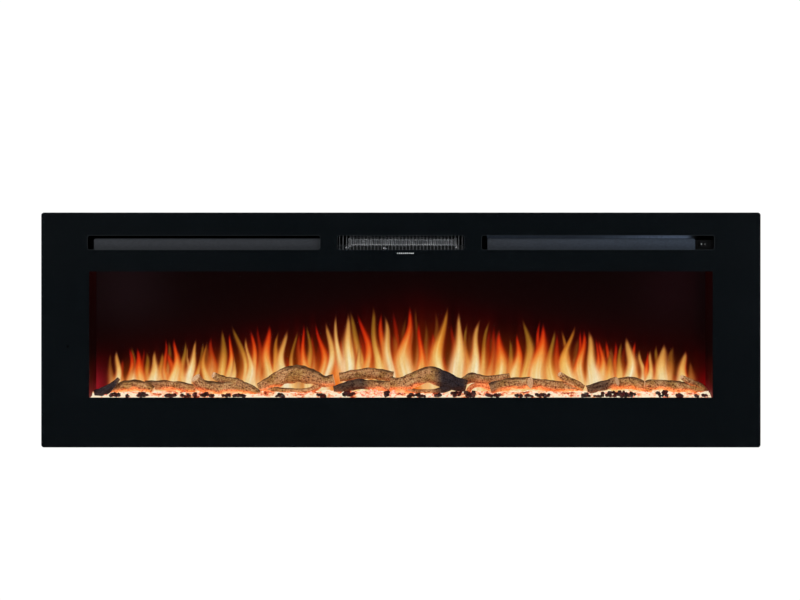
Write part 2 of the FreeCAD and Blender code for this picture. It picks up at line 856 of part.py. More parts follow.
def limb_shape(stations):
    """A loft through the stations' rings, closed by flat sawn ends."""
    centres = [at(x, fwd, up) for x, fwd, up, _ in stations]
    rings = []
    for k, (x, fwd, up, radius) in enumerate(stations):
        before, after = centres[max(k - 1, 0)], centres[min(k + 1, len(centres) - 1)]
        rings.append(ring(centres[k], (after - before).normalize(), radius))
    return Part.makeLoft(rings, True)


def make_logs():
    """Each log with its branch, standing on two pegs on the tray."""
    for label, limbs in LOGS.items():
        trunk = limb_shape(limbs[0])
        for limb in limbs[1:]:
            trunk = trunk.fuse(limb_shape(limb))
        for x, fwd, up, radius in (limbs[0][1], limbs[0][-2]):
            foot = bed_height(fwd - PEG_RADIUS) + 0.05
            trunk = trunk.fuse(Part.makeCylinder(PEG_RADIUS, up - foot, at(x, fwd, foot)))
        keep(feature(label.title().replace("_", ""), trunk.Solids[0] if len(trunk.Solids) == 1 else trunk), label)


# ---------------------------------------------------------------------------------------------------
# Lights and flame rotors
# ---------------------------------------------------------------------------------------------------


def make_led_board(label, fwd, up, deep, count, feet=0):
    """A long circuit board with a row of square LEDs along its middle."""
    body = new_body(label)
    strip = new_sketch(body, "XY_Plane", f"glass_low + {up}", label + "_strip")
    rectangle(strip, "-645", f"-({fwd}) - ({deep})", "1290", deep)
    pad(body, strip, "1.6")
    led = new_sketch(body, "XY_Plane", f"glass_low + {up} + 1.6", label + "_led")
    rectangle(led, "-637.5", f"-({fwd}) - ({deep}) / 2 - 2.5", "5", "5")
    row_of(body, pad(body, led, "1.6"), led, "H_Axis", "1270", count)
    if feet:
        foot = new_sketch(body, "XY_Plane", f"glass_low + {up} - {feet}", label + "_foot")
        circle(foot, "-630", f"-({fwd}) - ({deep}) / 2", "3")
        row_of(body, pad(body, foot, feet), foot, "H_Axis", "1260", 7)


def make_rotor_brackets():
    """The centre plate between the two rotors, and the end plates that carry their motors."""
    whole = block("CentreSheet", "-1.5", "24", "case_up + sheet_thick", "3", "31", "66")
    notch = block("CentreNotch", "-2", "27.5", "case_up", "4", "23", "14")
    plates = [cut("CentrePlate", whole, notch)]
    for side in (-1, 1):
        x = "end_plate_x" if side > 0 else "-end_plate_x - 2"
        tag = "R" if side > 0 else "L"
        plate = block(
            "EndPlate" + tag, x, "24", "case_up + sheet_thick", "2", "43", "shelf_up - case_up - sheet_thick - 0.2"
        )
        hole = rod("ShaftPass" + tag, f"{x} - 1", "rotor_fwd", "rotor_up", "4", "4", "right")
        plates.append(cut("MotorPlate" + tag, plate, hole))
    keep(together("RotorBrackets", *plates), "rotor_brackets")


def make_shaft_bushes():
    """Plain bushes for the rotors' inner ends on the centre plate, and for the blower shaft's left end."""
    bushes = []
    for tag, x, fwd, up, way in (
        ("L", "-1.5", "rotor_fwd", "rotor_up", "left"),
        ("R", "1.5", "rotor_fwd", "rotor_up", "right"),
        ("B", "-duct_half", "wheel_fwd", "wheel_up", "left"),
    ):
        ring_body = rod("Bush" + tag, x, fwd, up, "5", "7", way)
        bore = rod("BushBore" + tag, x, fwd, up, "rotor_shaft + running_gap", "8", way)
        bushes.append(cut("BushCut" + tag, ring_body, bore))
    keep(together("ShaftBushes", *bushes), "shaft_bushes")


def make_rotors():
    """Two shafts with pairs of reflective vanes on hubs, each vane turned a little from the last."""
    count, first, pitch, long = 17, 32, 37, 31
    hub_outer = value("rotor_shaft") + 1.2
    reach = value("rotor_reach")
    for name, side in (("left", -1), ("right", 1)):
        way = "right" if side > 0 else "left"
        keep(
            rod(f"Shaft_{name}", side * 3, "rotor_fwd", "rotor_up", "rotor_shaft", "end_plate_x + 9 - 3", way),
            f"rotor_{name}_shaft",
        )
        vanes = []
        for k in range(count):
            hub = Part.makeCylinder(hub_outer, long, V(), V(1, 0, 0))
            blade = Part.makeBox(long, 2 * reach, 0.5, V(0, -reach, -0.25))
            vane = hub.fuse(blade).cut(Part.makeCylinder(value("rotor_shaft"), long + 2, V(-1, 0, 0), V(1, 0, 0)))
            vane.rotate(V(), V(1, 0, 0), 50 * k)
            x = first + k * pitch
            start = x if side > 0 else -x - long
            vane.translate(at(start, value("rotor_fwd"), value("rotor_up")))
            vanes.append(vane)
        keep(feature(f"Vanes_{name}", Part.makeCompound(vanes)), f"rotor_{name}_vanes")


def make_flame_motors():
    """Flat synchronous gear motors on the end plates; each rotor shaft runs in its motor's hub."""
    for name, side in (("left", -1), ("right", 1)):
        way = "right" if side > 0 else "left"
        x = "end_plate_x + 2" if side > 0 else "-end_plate_x - 2"
        can = rod("MotorCan" + name, x, "rotor_fwd", "rotor_up", "motor_radius", "motor_deep", way)
        cap_x = f"{x} + motor_deep" if side > 0 else f"{x} - motor_deep"
        cap = rod("MotorCap" + name, cap_x, "rotor_fwd", "rotor_up", "motor_radius - 6", "3", way)
        socket_x = f"{x} + 3" if side > 0 else f"{x} - 6"
        plug = block("MotorPlug" + name, socket_x, "rotor_fwd - 8", "rotor_up + motor_radius - 4", "3", "16", "10")
        bore = rod("MotorBore" + name, x, "rotor_fwd", "rotor_up", "rotor_shaft + running_gap", "12", way)
        keep(cut("FlameMotor" + name, fuse("MotorBody" + name, can, cap, plug), bore), f"flame_motor_{name}")


# ---------------------------------------------------------------------------------------------------
# Heater
# ---------------------------------------------------------------------------------------------------


def make_heater_duct(screw_holes):
    """A sheet box round the blower and element, open at the front above a lip, with an inlet behind."""
    front = "case_front - sheet_thick"
    shell = block(
        "DuctOuter",
        "-duct_half",
        "duct_back",
        "duct_low",
        "2 * duct_half",
        f"{front} - duct_back",
        "duct_high - duct_low",
    )
    inside = block(
        "DuctInner",
        "-duct_half + sheet_thick",
        "duct_back + sheet_thick",
        "duct_low + sheet_thick",
        "2 * duct_half - 2 * sheet_thick",
        f"{front} - duct_back",
        "duct_high - duct_low - 2 * sheet_thick",
    )
    inlet = block("DuctInlet", "-110", "duct_back - 1", "duct_low + 12", "220", "4", "40")
    pass_right = rod("DuctPassR", "duct_half - 3", "wheel_fwd", "wheel_up", "4", "5", "right")
    pass_left = rod("DuctPassL", "-duct_half - 2", "wheel_fwd", "wheel_up", "4", "5", "right")
    lip_fwd = "element_back + element_deep + 2"
    lip = block(
        "DuctLip",
        "-duct_half + sheet_thick",
        lip_fwd,
        "duct_low + sheet_thick",
        "2 * duct_half - 2 * sheet_thick",
        "sheet_thick",
        "27",
    )
    feet = [
        block(f"DuctFoot{k}", x, "100", "shelf_up + sheet_thick", "12", "20", "duct_low - shelf_up - sheet_thick")
        for k, x in enumerate((-120, 108))
    ]
    body = fuse("DuctBody", cut("DuctShell", shell, inside, inlet, pass_right, pass_left), lip, *feet)
    keep(cut("HeaterDuct", body, screw_holes), "heater_duct")


def make_heating_element():
    """A finned bar between two insulating end blocks that stand on the duct's floor."""
    body = new_body("heating_element")
    right = "element_left + element_long"
    foot = "glass_low + duct_low + sheet_thick"
    bars = new_sketch(body, "XZ_Plane", "element_back", "ElementBars")
    for low in ("element_low", "element_low + element_tall - 1.5"):
        rectangle(bars, "element_left", f"glass_low + {low}", "element_long", "1.5")
    fins = new_sketch(body, "XZ_Plane", "element_back", "ElementFin")
    rectangle(fins, "element_left", "glass_low + element_low", "0.8", "element_tall")
    ends = new_sketch(body, "XZ_Plane", "element_back", "ElementEnds")
    tall = f"glass_low + element_low + element_tall + 3 - ({foot})"
    for left in ("element_left - 6", right):
        rectangle(ends, left, foot, "6", tall)
    # The first fin joins the two bars, and the end blocks close the bar's ends, so the body stays one solid.
    joined = new_sketch(body, "XZ_Plane", "element_back", "ElementBack")
    rectangle(joined, "element_left", "glass_low + element_low", "element_long", "element_tall")
    pad(body, joined, "0.6")
    pad(body, bars, "element_deep")
    row_of(body, pad(body, fins, "element_deep"), fins, "H_Axis", "element_long - fin_pitch", 54)
    body.Tip = pad(body, ends, "element_deep - 6")


def make_outlet_grille():
    """A guard of upright wires between two rails, in front of the heater's opening."""
    body = new_body("outlet_grille")
    rails = new_sketch(body, "XZ_Plane", "case_front", "GrilleRails")
    for up in ("slot_up - 8", "slot_up + slot_tall + 4.2"):
        rectangle(rails, "-heat_slot_long / 2 - 6", f"glass_low + {up}", "heat_slot_long + 12", "3.5")
    for x in ("-heat_slot_long / 2 - 6", "heat_slot_long / 2 + 2.5"):
        rectangle(rails, x, "glass_low + slot_up - 4.5", "3.5", "slot_tall + 8.7")
    pad(body, rails, "1.6")
    wire = new_sketch(body, "XY_Plane", "glass_low + slot_up - 6", "GrilleWire")
    circle(wire, "-17.5 * grille_pitch", "-(case_front + 1.6)", "grille_wire")
    row_of(body, pad(body, wire, "slot_tall + 12"), wire, "H_Axis", "35 * grille_pitch", 36)


def make_blower():
    """A cross-flow wheel on its shaft, and the skeleton motor outside the duct's right wall."""
    blades = 22
    half, radius, shaft = value("wheel_half"), value("wheel_radius"), value("rotor_shaft")
    parts = [Part.makeCylinder(radius, 2, V(x, 0, 0), V(1, 0, 0)) for x in (-half, -1, half - 2)]
    for k in range(blades):
        outer = Part.makeCylinder(5.5, 2 * half, V(-half, 0, 0), V(1, 0, 0))
        inner = Part.makeCylinder(4.9, 2 * half, V(-half, 0, 0), V(1, 0, 0))
        window = Part.makeBox(2 * half, 7, 7, V(-half, 0, -1))
        blade = outer.cut(inner).common(window)
        blade.translate(V(0, radius - 6.6, 0))
        blade.rotate(V(), V(1, 0, 0), 360 * k / blades)
        parts.append(blade)
    left, right = -value("duct_half") - 5, value("duct_half") + 18
    parts.append(Part.makeCylinder(shaft, right - left, V(left, 0, 0), V(1, 0, 0)))
    wheel = parts[0].multiFuse(parts[1:]).removeSplitter()
    wheel.translate(at(0, value("wheel_fwd"), value("wheel_up")))
    keep(feature("BlowerWheel", wheel), "blower_wheel")
    start = "duct_half + 3"
    stack = block("MotorStack", start, "wheel_fwd - 24", "wheel_up - 24", "18", "48", "48")
    coil = block("MotorCoil", f"{start} - 2.5", "wheel_fwd - 15", "wheel_up - 30", "23", "30", "14")
    cap = rod("MotorBoss", f"{start} + 18", "wheel_fwd", "wheel_up", "9", "8", "right")
    foot = block("MotorFoot", "duct_half", "wheel_fwd + 10", "wheel_up + 16", "3", "12", "6")
    foot_low = block("MotorFootLow", "duct_half", "wheel_fwd - 22", "wheel_up + 16", "3", "12", "6")
    bore = rod("MotorBoreB", start, "wheel_fwd", "wheel_up", "rotor_shaft + running_gap", "30", "right")
    keep(cut("BlowerMotor", fuse("BlowerBody", stack, coil, cap, foot, foot_low), bore), "blower_motor")


def make_thermal_cutout():
    """A disc thermostat on its flange under the duct's roof."""
    roof = "duct_high - sheet_thick"
    disc = rod("CutoutDisc", "60", "96", f"{roof} - 1 - 7", "8", "7", "up")
    ear = block("CutoutEar", "46", "91", f"{roof} - 1", "28", "10", "1")
    keep(fuse("ThermalCutout", disc, ear), "thermal_cutout")


# ---------------------------------------------------------------------------------------------------
# Intake panels, switch and electronics
# ---------------------------------------------------------------------------------------------------


def make_intake_panels():
    """Strips behind the side slots, with a trough under each. Air goes in over the strip's top edge."""
    front = "case_front - sheet_thick"
    for label, left, wide in (
        ("intake_panel_left", "-652", "492"),
        ("intake_panel_right", "184", "441"),
    ):
        body = new_body(label)
        face = new_sketch(body, "XZ_Plane", f"{front} - sheet_thick", label + "_face")
        rounded(face, left, "glass_low + slot_up - 15", wide, "slot_tall + 9", "4")
        pad(body, face, "sheet_thick")
        trough = new_sketch(body, "XZ_Plane", f"{front} - 26", label + "_trough")
        rectangle(trough, f"{left} + 5", "glass_low + slot_up - 15", f"{wide} - 10", "sheet_thick")
        pad(body, trough, "25.5")


def make_switch():
    """A rocker switch in a black plate at the right end of the right slot."""
    front = "case_front - sheet_thick"
    x, up = "switch_x", "switch_up"
    plate = block("SwitchPlateSheet", "626", f"{front} - sheet_thick", "404", "46", "sheet_thick", "36")
    hole = block("SwitchPlateHole", f"{x} - 9.6", f"{front} - 4", f"{up} - 6.6", "19.2", "8", "13.2")
    keep(cut("SwitchPlate", plate, hole), "switch_plate")
    left, low = f"{x} - switch_wide / 2", f"{up} - switch_tall / 2"
    bezel = block("SwitchBezel", left, front, low, "switch_wide", "2", "switch_tall")
    stem = block("SwitchStem", f"{x} - 9.5", f"{front} - 13.5", f"{up} - 6.5", "19", "13.5", "13")
    cavity = block("SwitchCavity", f"{x} - 8.7", "switch_pivot - 4.8", f"{up} - 5.8", "17.4", "14", "11.6")
    pin_hole = rod("SwitchPinHole", x, "switch_pivot", f"{up} - 6.4", "1 + running_gap", "12.8", "up")
    blades = [
        block(f"SwitchBlade{k}", f"{x} + {dx} - 0.4", f"{front} - 20.5", f"{up} - 2.4", "0.8", "7", "4.8")
        for k, dx in enumerate((-6, 0, 6))
    ]
    keep(cut("SwitchBody", fuse("SwitchShell", bezel, stem, *blades), cavity, pin_hole), "switch_body")
    make_power_rocker()


def make_power_rocker():
    """The rocker, drawn level in its own frame about the pivot and then tilted to the on position."""
    half, tall, slope = value("rocker_half"), value("rocker_tall"), value("rocker_tilt")
    rise = half * math.tan(math.radians(slope))
    face = 5.6
    outline = [V(-half, 3, 0), V(half, 3, 0), V(half, -face - rise, 0), V(0, -face, 0), V(-half, -face - rise, 0)]
    rocker = Part.Face(Part.makePolygon(outline + outline[:1])).extrude(V(0, 0, tall))
    rocker.translate(V(0, 0, -tall / 2))
    rocker = rocker.fuse(Part.makeCylinder(1.0, tall + 1.2, V(0, 0, -tall / 2 - 0.6)))
    rocker.rotate(V(), V(0, 0, 1), slope)
    rocker.translate(at(value("switch_x"), value("switch_pivot"), value("switch_up")))
    keep(feature("PowerRocker", rocker), "power_rocker")


def make_electronics():
    """The control board on its standoffs with relays, transformer and connectors, and the remote's lens."""
    deck = "shelf_up + sheet_thick"
    board = [block("Board", "330", "30", f"{deck} + 6", "150", "76", "1.6")]
    for k, (x, fwd) in enumerate(((336, 36), (474, 36), (336, 100), (474, 100))):
        board.append(rod(f"Standoff{k}", x, fwd, deck, "3", "6", "up"))
    top = f"{deck} + 7.6"
    for k, (x, fwd, wide, deep, tall) in enumerate(
        (
            (342, 44, 30, 36, 26),
            (380, 40, 19, 16, 16),
            (404, 40, 19, 16, 16),
            (428, 40, 19, 16, 16),
            (384, 74, 24, 24, 3),
            (420, 84, 40, 8, 10),
            (456, 44, 16, 30, 12),
        )
    ):
        board.append(block(f"Component{k}", x, fwd, top, wide, deep, tall))
    board.append(rod("Capacitor", "446", "72", top, "5", "18", "up"))
    keep(together("MainBoard", *board), "main_board")
    barrel = rod("LensBarrel", "lens_x", "case_front - 6", "lens_up", "lens_radius", "13.9", "forward")
    flange = rod("LensFlange", "lens_x", "case_front - 4", "lens_up", "lens_radius + 1.5", "2.6", "forward")
    keep(fuse("ReceiverLens", barrel, flange), "receiver_lens")


def make_cord_inlet():
    """A snap-in strain relief in the right side for the mains cord, and the terminal block inside."""
    x = "case_wide / 2"
    collar = rod("GlandCollar", x, "gland_fwd", "gland_up", "11", "4", "right")
    nose = rod("GlandNose", f"{x} + 4", "gland_fwd", "gland_up", "7.5", "6", "right")
    neck = rod("GlandNeck", f"{x} - 12", "gland_fwd", "gland_up", "7.9", "12", "right")
    bore = rod("GlandBore", f"{x} - 13", "gland_fwd", "gland_up", "gland_bore", "26", "right")
    keep(cut("CordGland", fuse("GlandBody", collar, nose, neck), bore), "cord_gland")
    base = block("TerminalBase", "694", "46", "case_up + sheet_thick", "22", "40", "8")
    posts = [
        block(f"TerminalPost{k}", "698", f"{48 + 12 * k}", "case_up + sheet_thick + 8", "14", "9", "9")
        for k in range(3)
    ]
    keep(fuse("TerminalBlock", base, *posts), "terminal_block")


def cable(points, radius):
    """A round lead through points, with straight runs joined by tangent arcs as large as the runs allow."""
    corners = [at(*p) for p in points]
    edges, start = [], corners[0]
    for before, corner, after in zip(corners, corners[1:], corners[2:]):
        arriving, leaving = corner - before, after - corner
        turn = arriving.getAngle(leaving)
        reach = 0.45 * min(arriving.Length, leaving.Length)
        arriving.normalize()
        leaving.normalize()
        begin, end = corner - arriving * reach, corner + leaving * reach
        bulge = (leaving - arriving).normalize()
        bend = reach / math.tan(turn / 2)
        middle = corner + bulge * (bend / math.cos(turn / 2) - bend)
        edges += [Part.LineSegment(start, begin).toShape(), Part.Arc(begin, middle, end).toShape()]
        start = end
    edges.append(Part.LineSegment(start, corners[-1]).toShape())
    path = Part.Wire(edges)
    way = (corners[1] - corners[0]).normalize()
    profile = Part.Wire(Part.makeCircle(radius, corners[0], way))
    lead = path.makePipeShell([profile], True, False)
    wanted = math.pi * radius**2 * path.Length
    if abs(lead.Volume / wanted - 1) > 0.01:
        raise RuntimeError(f"a lead's volume is {lead.Volume:.0f} and its path says {wanted:.0f}")
    return lead


def make_wire_harness():
    """Leads inside the casing: mains up to the board, and from the board to blower, element and switch."""
    leads = [
        cable(
            [
                (703, 76.5, 48),
                (706, 80, 60),
                (709, 64, 92),
                (702, 40, 130),
                (700, 36, 200),
                (700, 36, 395),
                (690, 38, 412),
                (600, 50, 404),
                (520, 52, 396),
                (475, 58, 400),
            ],
            3.2,
        ),
        cable(
            [
                (700, 56, 396),
                (700, 56, 375),
                (698, 57, 300),
                (697, 62, 200),
                (697, 66, 120),
                (697, 72, 75),
                (680, 76, 60),
                (655, 70, 48),
                (644, 53, 40),
            ],
            2.2,
        ),
        cable([(340, 62, 402), (320, 66, 404), (280, 58, 396), (230, 62, 392), (196, 66, 400), (164, 68, 407)], 2.2),
        cable(
            [
                (340, 54, 412),
                (316, 44, 416),
                (270, 30, 410),
                (210, 27, 404),
                (170, 27, 398),
                (148, 30, 392),
                (118, 34, 389),
                (60, 36, 390),
                (0, 40, 391),
                (-30, 44, 394.5),
            ],
            2.2,
        ),
        cable(
            [
                (474.5, 62, 396),
                (496, 66, 410),
                (540, 80, 420),
                (590, 96, 426),
                (618, 104, 430),
                (634.7, 110, 431.2),
                (634.7, 117.5, 431.2),
            ],
            1.8,
        ),
    ]
    keep(feature("WireHarness", Part.makeCompound(leads)), "wire_harness")


# ---------------------------------------------------------------------------------------------------
# Wall fixing
# ---------------------------------------------------------------------------------------------------


def make_wall_bracket():
    """A steel strip with bent edges, screwed to the studs, whose hooks carry the rear panel's windows."""
    thick, reach = "bracket_thick", "case_back + sheet_thick + 2"
    low = "-glass_low - bracket_tall / 2"
    strip = block("BracketStrip", "-bracket_long / 2", "0", low, "bracket_long", thick, "bracket_tall")
    pieces = [strip]
    for name, up in (("Low", low), ("High", f"{low} + bracket_tall - {thick}")):
        pieces.append(block("BracketEdge" + name, "-bracket_long / 2", thick, up, "bracket_long", "5", thick))
    for k, x in enumerate(HOOKS):
        left = f"{x} - hook_wide / 2"
        pieces.append(block(f"HookArm{k}", left, thick, f"-glass_low - {thick}", "hook_wide", reach, thick))
        pieces.append(block(f"HookLip{k}", left, reach, f"-glass_low - {thick}", "hook_wide", thick, "14"))
    holes = [
        rod(f"StudHole{k}", f"{k - 1.5} * stud_pitch", "-1", "-glass_low", "stud_hole", "4", "forward")
        for k in range(4)
    ]
    keep(cut("WallBracket", fuse("BracketBody", *pieces), *holes), "wall_bracket")


def make_rear_bumpers():
    """Rubber stops behind the casing's corners, each held by a barbed stem."""
    bumpers = []
    for k, (x, up) in enumerate(BUMPERS):
        pad_body = rod(f"BumperPad{k}", x, "0", up, "11", "case_back", "forward")
        stem = rod(f"BumperStem{k}", x, "case_back", up, "3", "sheet_thick", "forward")
        barb = rod(f"BumperBarb{k}", x, "case_back + sheet_thick", up, "4.2", "3", "forward")
        bumpers.append(fuse(f"Bumper{k}", pad_body, stem, barb))
    keep(together("RearBumpers", *bumpers), "rear_bumpers")


# ---------------------------------------------------------------------------------------------------
# Build, check and write
# ---------------------------------------------------------------------------------------------------


def main():
    screw_holes = make_screw_holes()
    make_screws()
    make_front_glass()
    make_glass_print()
    make_glass_carrier(screw_holes)
    make_rear_panel(screw_holes)
    make_front_frame(screw_holes)
    make_flat_panels(screw_holes)
    make_shelves()
    make_firebox()
    make_ember_chips()
    make_logs()
    make_led_board("ember_led_board", "100", "bed_up", "14", 50)
    make_led_board("flame_led_board", "28", "case_up + sheet_thick + 5", "22", 50, feet=5)
    make_rotor_brackets()
    make_shaft_bushes()
    make_rotors()
    make_flame_motors()
    make_heater_duct(screw_holes)
    make_heating_element()
    make_outlet_grille()
    make_blower()
    make_thermal_cutout()
    make_intake_panels()
    make_switch()
    make_electronics()
    make_cord_inlet()
    make_wire_harness()
    make_wall_bracket()
    make_rear_bumpers()
    doc.recompute()
    check()
    write()


def check():
    """Stops if any object failed to build, or a sub-part isn't made of sound closed solids."""
    for thing in doc.Objects:
        if "Invalid" in thing.State or "Error" in thing.State:
            raise RuntimeError(f"{thing.Label} is {thing.State}")
    for label, thing in PARTS.items():
        shape = thing.Shape
        if shape.isNull() or not shape.isValid() or not shape.Solids:
            raise RuntimeError(f"{label} is not a valid solid")


def write():
    os.makedirs("parts", exist_ok=True)
    for label, thing in PARTS.items():
        thing.Shape.exportStep(f"parts/{label}.step")
    print(f"wrote {len(PARTS)} sub-parts")


main()
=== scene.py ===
# Looks for a linear electric fireplace: glass front, flame picture, ember bed and cast resin logs.
#
# Sizes are millimetres: x to the right, fwd out from the wall, and up from the glass's lower edge.
# place() turns them into the frame's metres.

import json
import math
import random

import bpy
import numpy as np
from mathutils import Euler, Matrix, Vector, noise


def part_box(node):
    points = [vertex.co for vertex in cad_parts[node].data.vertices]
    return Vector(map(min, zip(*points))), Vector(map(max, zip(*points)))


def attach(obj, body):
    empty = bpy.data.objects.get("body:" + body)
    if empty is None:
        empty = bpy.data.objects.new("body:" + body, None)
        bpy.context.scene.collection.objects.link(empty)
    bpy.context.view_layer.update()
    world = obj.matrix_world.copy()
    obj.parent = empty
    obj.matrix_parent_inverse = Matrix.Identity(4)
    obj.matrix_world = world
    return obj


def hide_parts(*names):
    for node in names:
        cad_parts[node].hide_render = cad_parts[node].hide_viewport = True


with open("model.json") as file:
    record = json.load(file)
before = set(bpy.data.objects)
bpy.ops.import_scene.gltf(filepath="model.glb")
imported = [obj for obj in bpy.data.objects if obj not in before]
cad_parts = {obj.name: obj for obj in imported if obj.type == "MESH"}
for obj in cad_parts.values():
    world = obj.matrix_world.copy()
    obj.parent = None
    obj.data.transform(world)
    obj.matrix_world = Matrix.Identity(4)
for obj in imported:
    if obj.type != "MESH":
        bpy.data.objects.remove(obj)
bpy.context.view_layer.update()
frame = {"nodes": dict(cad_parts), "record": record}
GLASS_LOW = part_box("front_glass")[0].z


def place(x, fwd, up):
    """A point of the fireplace in the frame's metres."""
    return (x / 1000, -fwd / 1000, GLASS_LOW + up / 1000)


def span(node):
    """A CAD node's box in the fireplace's millimetres: lowest and highest x, fwd and up."""
    low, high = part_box(node)
    return (
        (low.x * 1000, high.x * 1000),
        (-high.y * 1000, -low.y * 1000),
        ((low.z - GLASS_LOW) * 1000, (high.z - GLASS_LOW) * 1000),
    )


# ---- Number helpers ----


def linear(values):
    """Display colours on a 0-255 scale as the linear light values that shaders take."""
    share = np.clip(np.asarray(values, float) / 255, 0, 1)
    return np.where(share <= 0.04045, share / 12.92, ((share + 0.055) / 1.055) ** 2.4)


def shade(colour):
    """One display colour as a shader's four numbers."""
    return (*(float(c) for c in linear(colour)), 1.0)


def smooth(low, high, values):
    """0 below low, 1 above high and a soft rise between them."""
    t = np.clip((values - low) / (high - low), 0, 1)
    return t * t * (3 - 2 * t)


def ramp(t, stops):
    """Colours along t from (place, colour) stops."""
    places = [stop[0] for stop in stops]
    return np.stack([np.interp(t, places, [stop[1][c] for stop in stops]) for c in range(3)], axis=-1)


def soft_noise(a, b, cell_a, cell_b, seed):
    """Smooth random values from 0 to 1 over two coordinates, with cells of the given sizes."""
    lattice = np.random.default_rng(seed).random((64, 64))
    a, b = np.asarray(a) / cell_a, np.asarray(b) / cell_b
    i, j = np.floor(a).astype(int), np.floor(b).astype(int)
    u, v = a - i, b - j
    u, v = u * u * (3 - 2 * u), v * v * (3 - 2 * v)
    low = lattice[i % 64, j % 64] * (1 - u) + lattice[(i + 1) % 64, j % 64] * u
    high = lattice[i % 64, (j + 1) % 64] * (1 - u) + lattice[(i + 1) % 64, (j + 1) % 64] * u
    return low * (1 - v) + high * v


# ---- Materials ----


class Finish:
    """A material whose colour, roughness and relief come from textures laid out in object space."""

    def __init__(self, name, **sockets):
        self.material = bpy.data.materials.new(name)
        self.material.use_nodes = True
        self.tree = self.material.node_tree
        self.shader = self.tree.nodes["Principled BSDF"]
        self.space = self.node("ShaderNodeTexCoord").outputs["Object"]
        for socket, value in sockets.items():
            self.shader.inputs[socket.replace("_", " ")].default_value = value

    def node(self, kind, inputs=None, **settings):
        made = self.tree.nodes.new(kind)
        for key, value in settings.items():
            setattr(made, key, value)
        for key, value in (inputs or {}).items():
            if isinstance(value, bpy.types.NodeSocket):
                self.tree.links.new(value, made.inputs[key])
            else:
                made.inputs[key].default_value = value
        return made

    def stretched(self, stretch):
        return self.node("ShaderNodeMapping", {"Vector": self.space, "Scale": stretch}).outputs["Vector"]

    def grain(self, size, detail=3.0, stretch=(1, 1, 1)):
        """Cloudy noise with features of a size in millimetres."""
        inputs = {"Vector": self.stretched(stretch), "Scale": 1000 / size, "Detail": detail}
        return self.node("ShaderNodeTexNoise", inputs).outputs["Fac"]

    def cells(self, size, output="Color"):
        """Random flat patches of a size in millimetres."""
        inputs = {"Vector": self.space, "Scale": 1000 / size}
        return self.node("ShaderNodeTexVoronoi", inputs).outputs[output]

    def bands(self, size, axis, distortion=0.0):
        """Parallel lines with a pitch in millimetres across one axis."""
        inputs = {"Vector": self.space, "Scale": 1000 / size / 3.1416, "Distortion": distortion}
        made = self.node("ShaderNodeTexWave", inputs, bands_direction=axis)
        return made.outputs["Fac"]

    def between(self, axis, low, high):
        """How far along one axis a point lies between two places, in metres, as 0 to 1."""
        place_on_axis = self.node("ShaderNodeSeparateXYZ", {"Vector": self.space}).outputs[axis]
        limits = {"Value": place_on_axis, "From Min": low, "From Max": high}
        return self.node("ShaderNodeMapRange", limits).outputs["Result"]

    def attribute(self, name, output="Fac"):
        return self.node("ShaderNodeAttribute", attribute_name=name).outputs[output]

    def maths(self, operation, a, b=0.0):
        return self.node("ShaderNodeMath", {0: a, 1: b}, operation=operation).outputs[0]

    def tones(self, factor, *stops):
        """A colour ramp of (place, display colour) stops."""
        made = self.node("ShaderNodeValToRGB", {"Fac": factor})
        band = made.color_ramp
        while len(band.elements) < len(stops):
            band.elements.new(0.5)
        for element, (position, colour) in zip(band.elements, stops):
            element.position = position
            element.color = shade(colour)
        return made.outputs["Color"]

    def mixed(self, factor, a, b, blend="MIX"):
        made = self.node("ShaderNodeMix", data_type="RGBA", blend_type=blend)
        for socket, value in ((0, factor), (6, a), (7, b)):
            if isinstance(value, bpy.types.NodeSocket):
                self.tree.links.new(value, made.inputs[socket])
            else:
                made.inputs[socket].default_value = value
        return made.outputs[2]

    def colour(self, socket):
        self.tree.links.new(socket, self.shader.inputs["Base Color"])

    def glow(self, socket, strength=1.0):
        self.tree.links.new(socket, self.shader.inputs["Emission Color"])
        self.shader.inputs["Emission Strength"].default_value = strength
        self.material.cycles.emission_sampling = "NONE"

    def rough(self, factor, low, high):
        made = self.node("ShaderNodeMapRange", {"Value": factor, "To Min": low, "To Max": high})
        self.tree.links.new(made.outputs["Result"], self.shader.inputs["Roughness"])

    def relief(self, height, depth, strength=0.5):
        """A bump whose depth is in millimetres."""
        inputs = {"Height": height, "Distance": depth / 1000, "Strength": strength}
        made = self.node("ShaderNodeBump", inputs)
        self.tree.links.new(made.outputs["Normal"], self.shader.inputs["Normal"])


def plain_finish(name, dark, light, patch, rough, grain, depth, metal=0.0, gloss=0.5, stretch=(1, 1, 1)):
    """A finish in two close tones with a fine grain: painted sheet, plastic, rubber or metal."""
    made = Finish(name, Metallic=metal, Specular_IOR_Level=gloss)
    clouds = made.grain(patch, stretch=stretch)
    made.colour(made.tones(clouds, (0.3, dark), (0.7, light)))
    made.rough(clouds, *rough)
    made.relief(made.grain(grain, 2.0, stretch), depth)
    return made.material


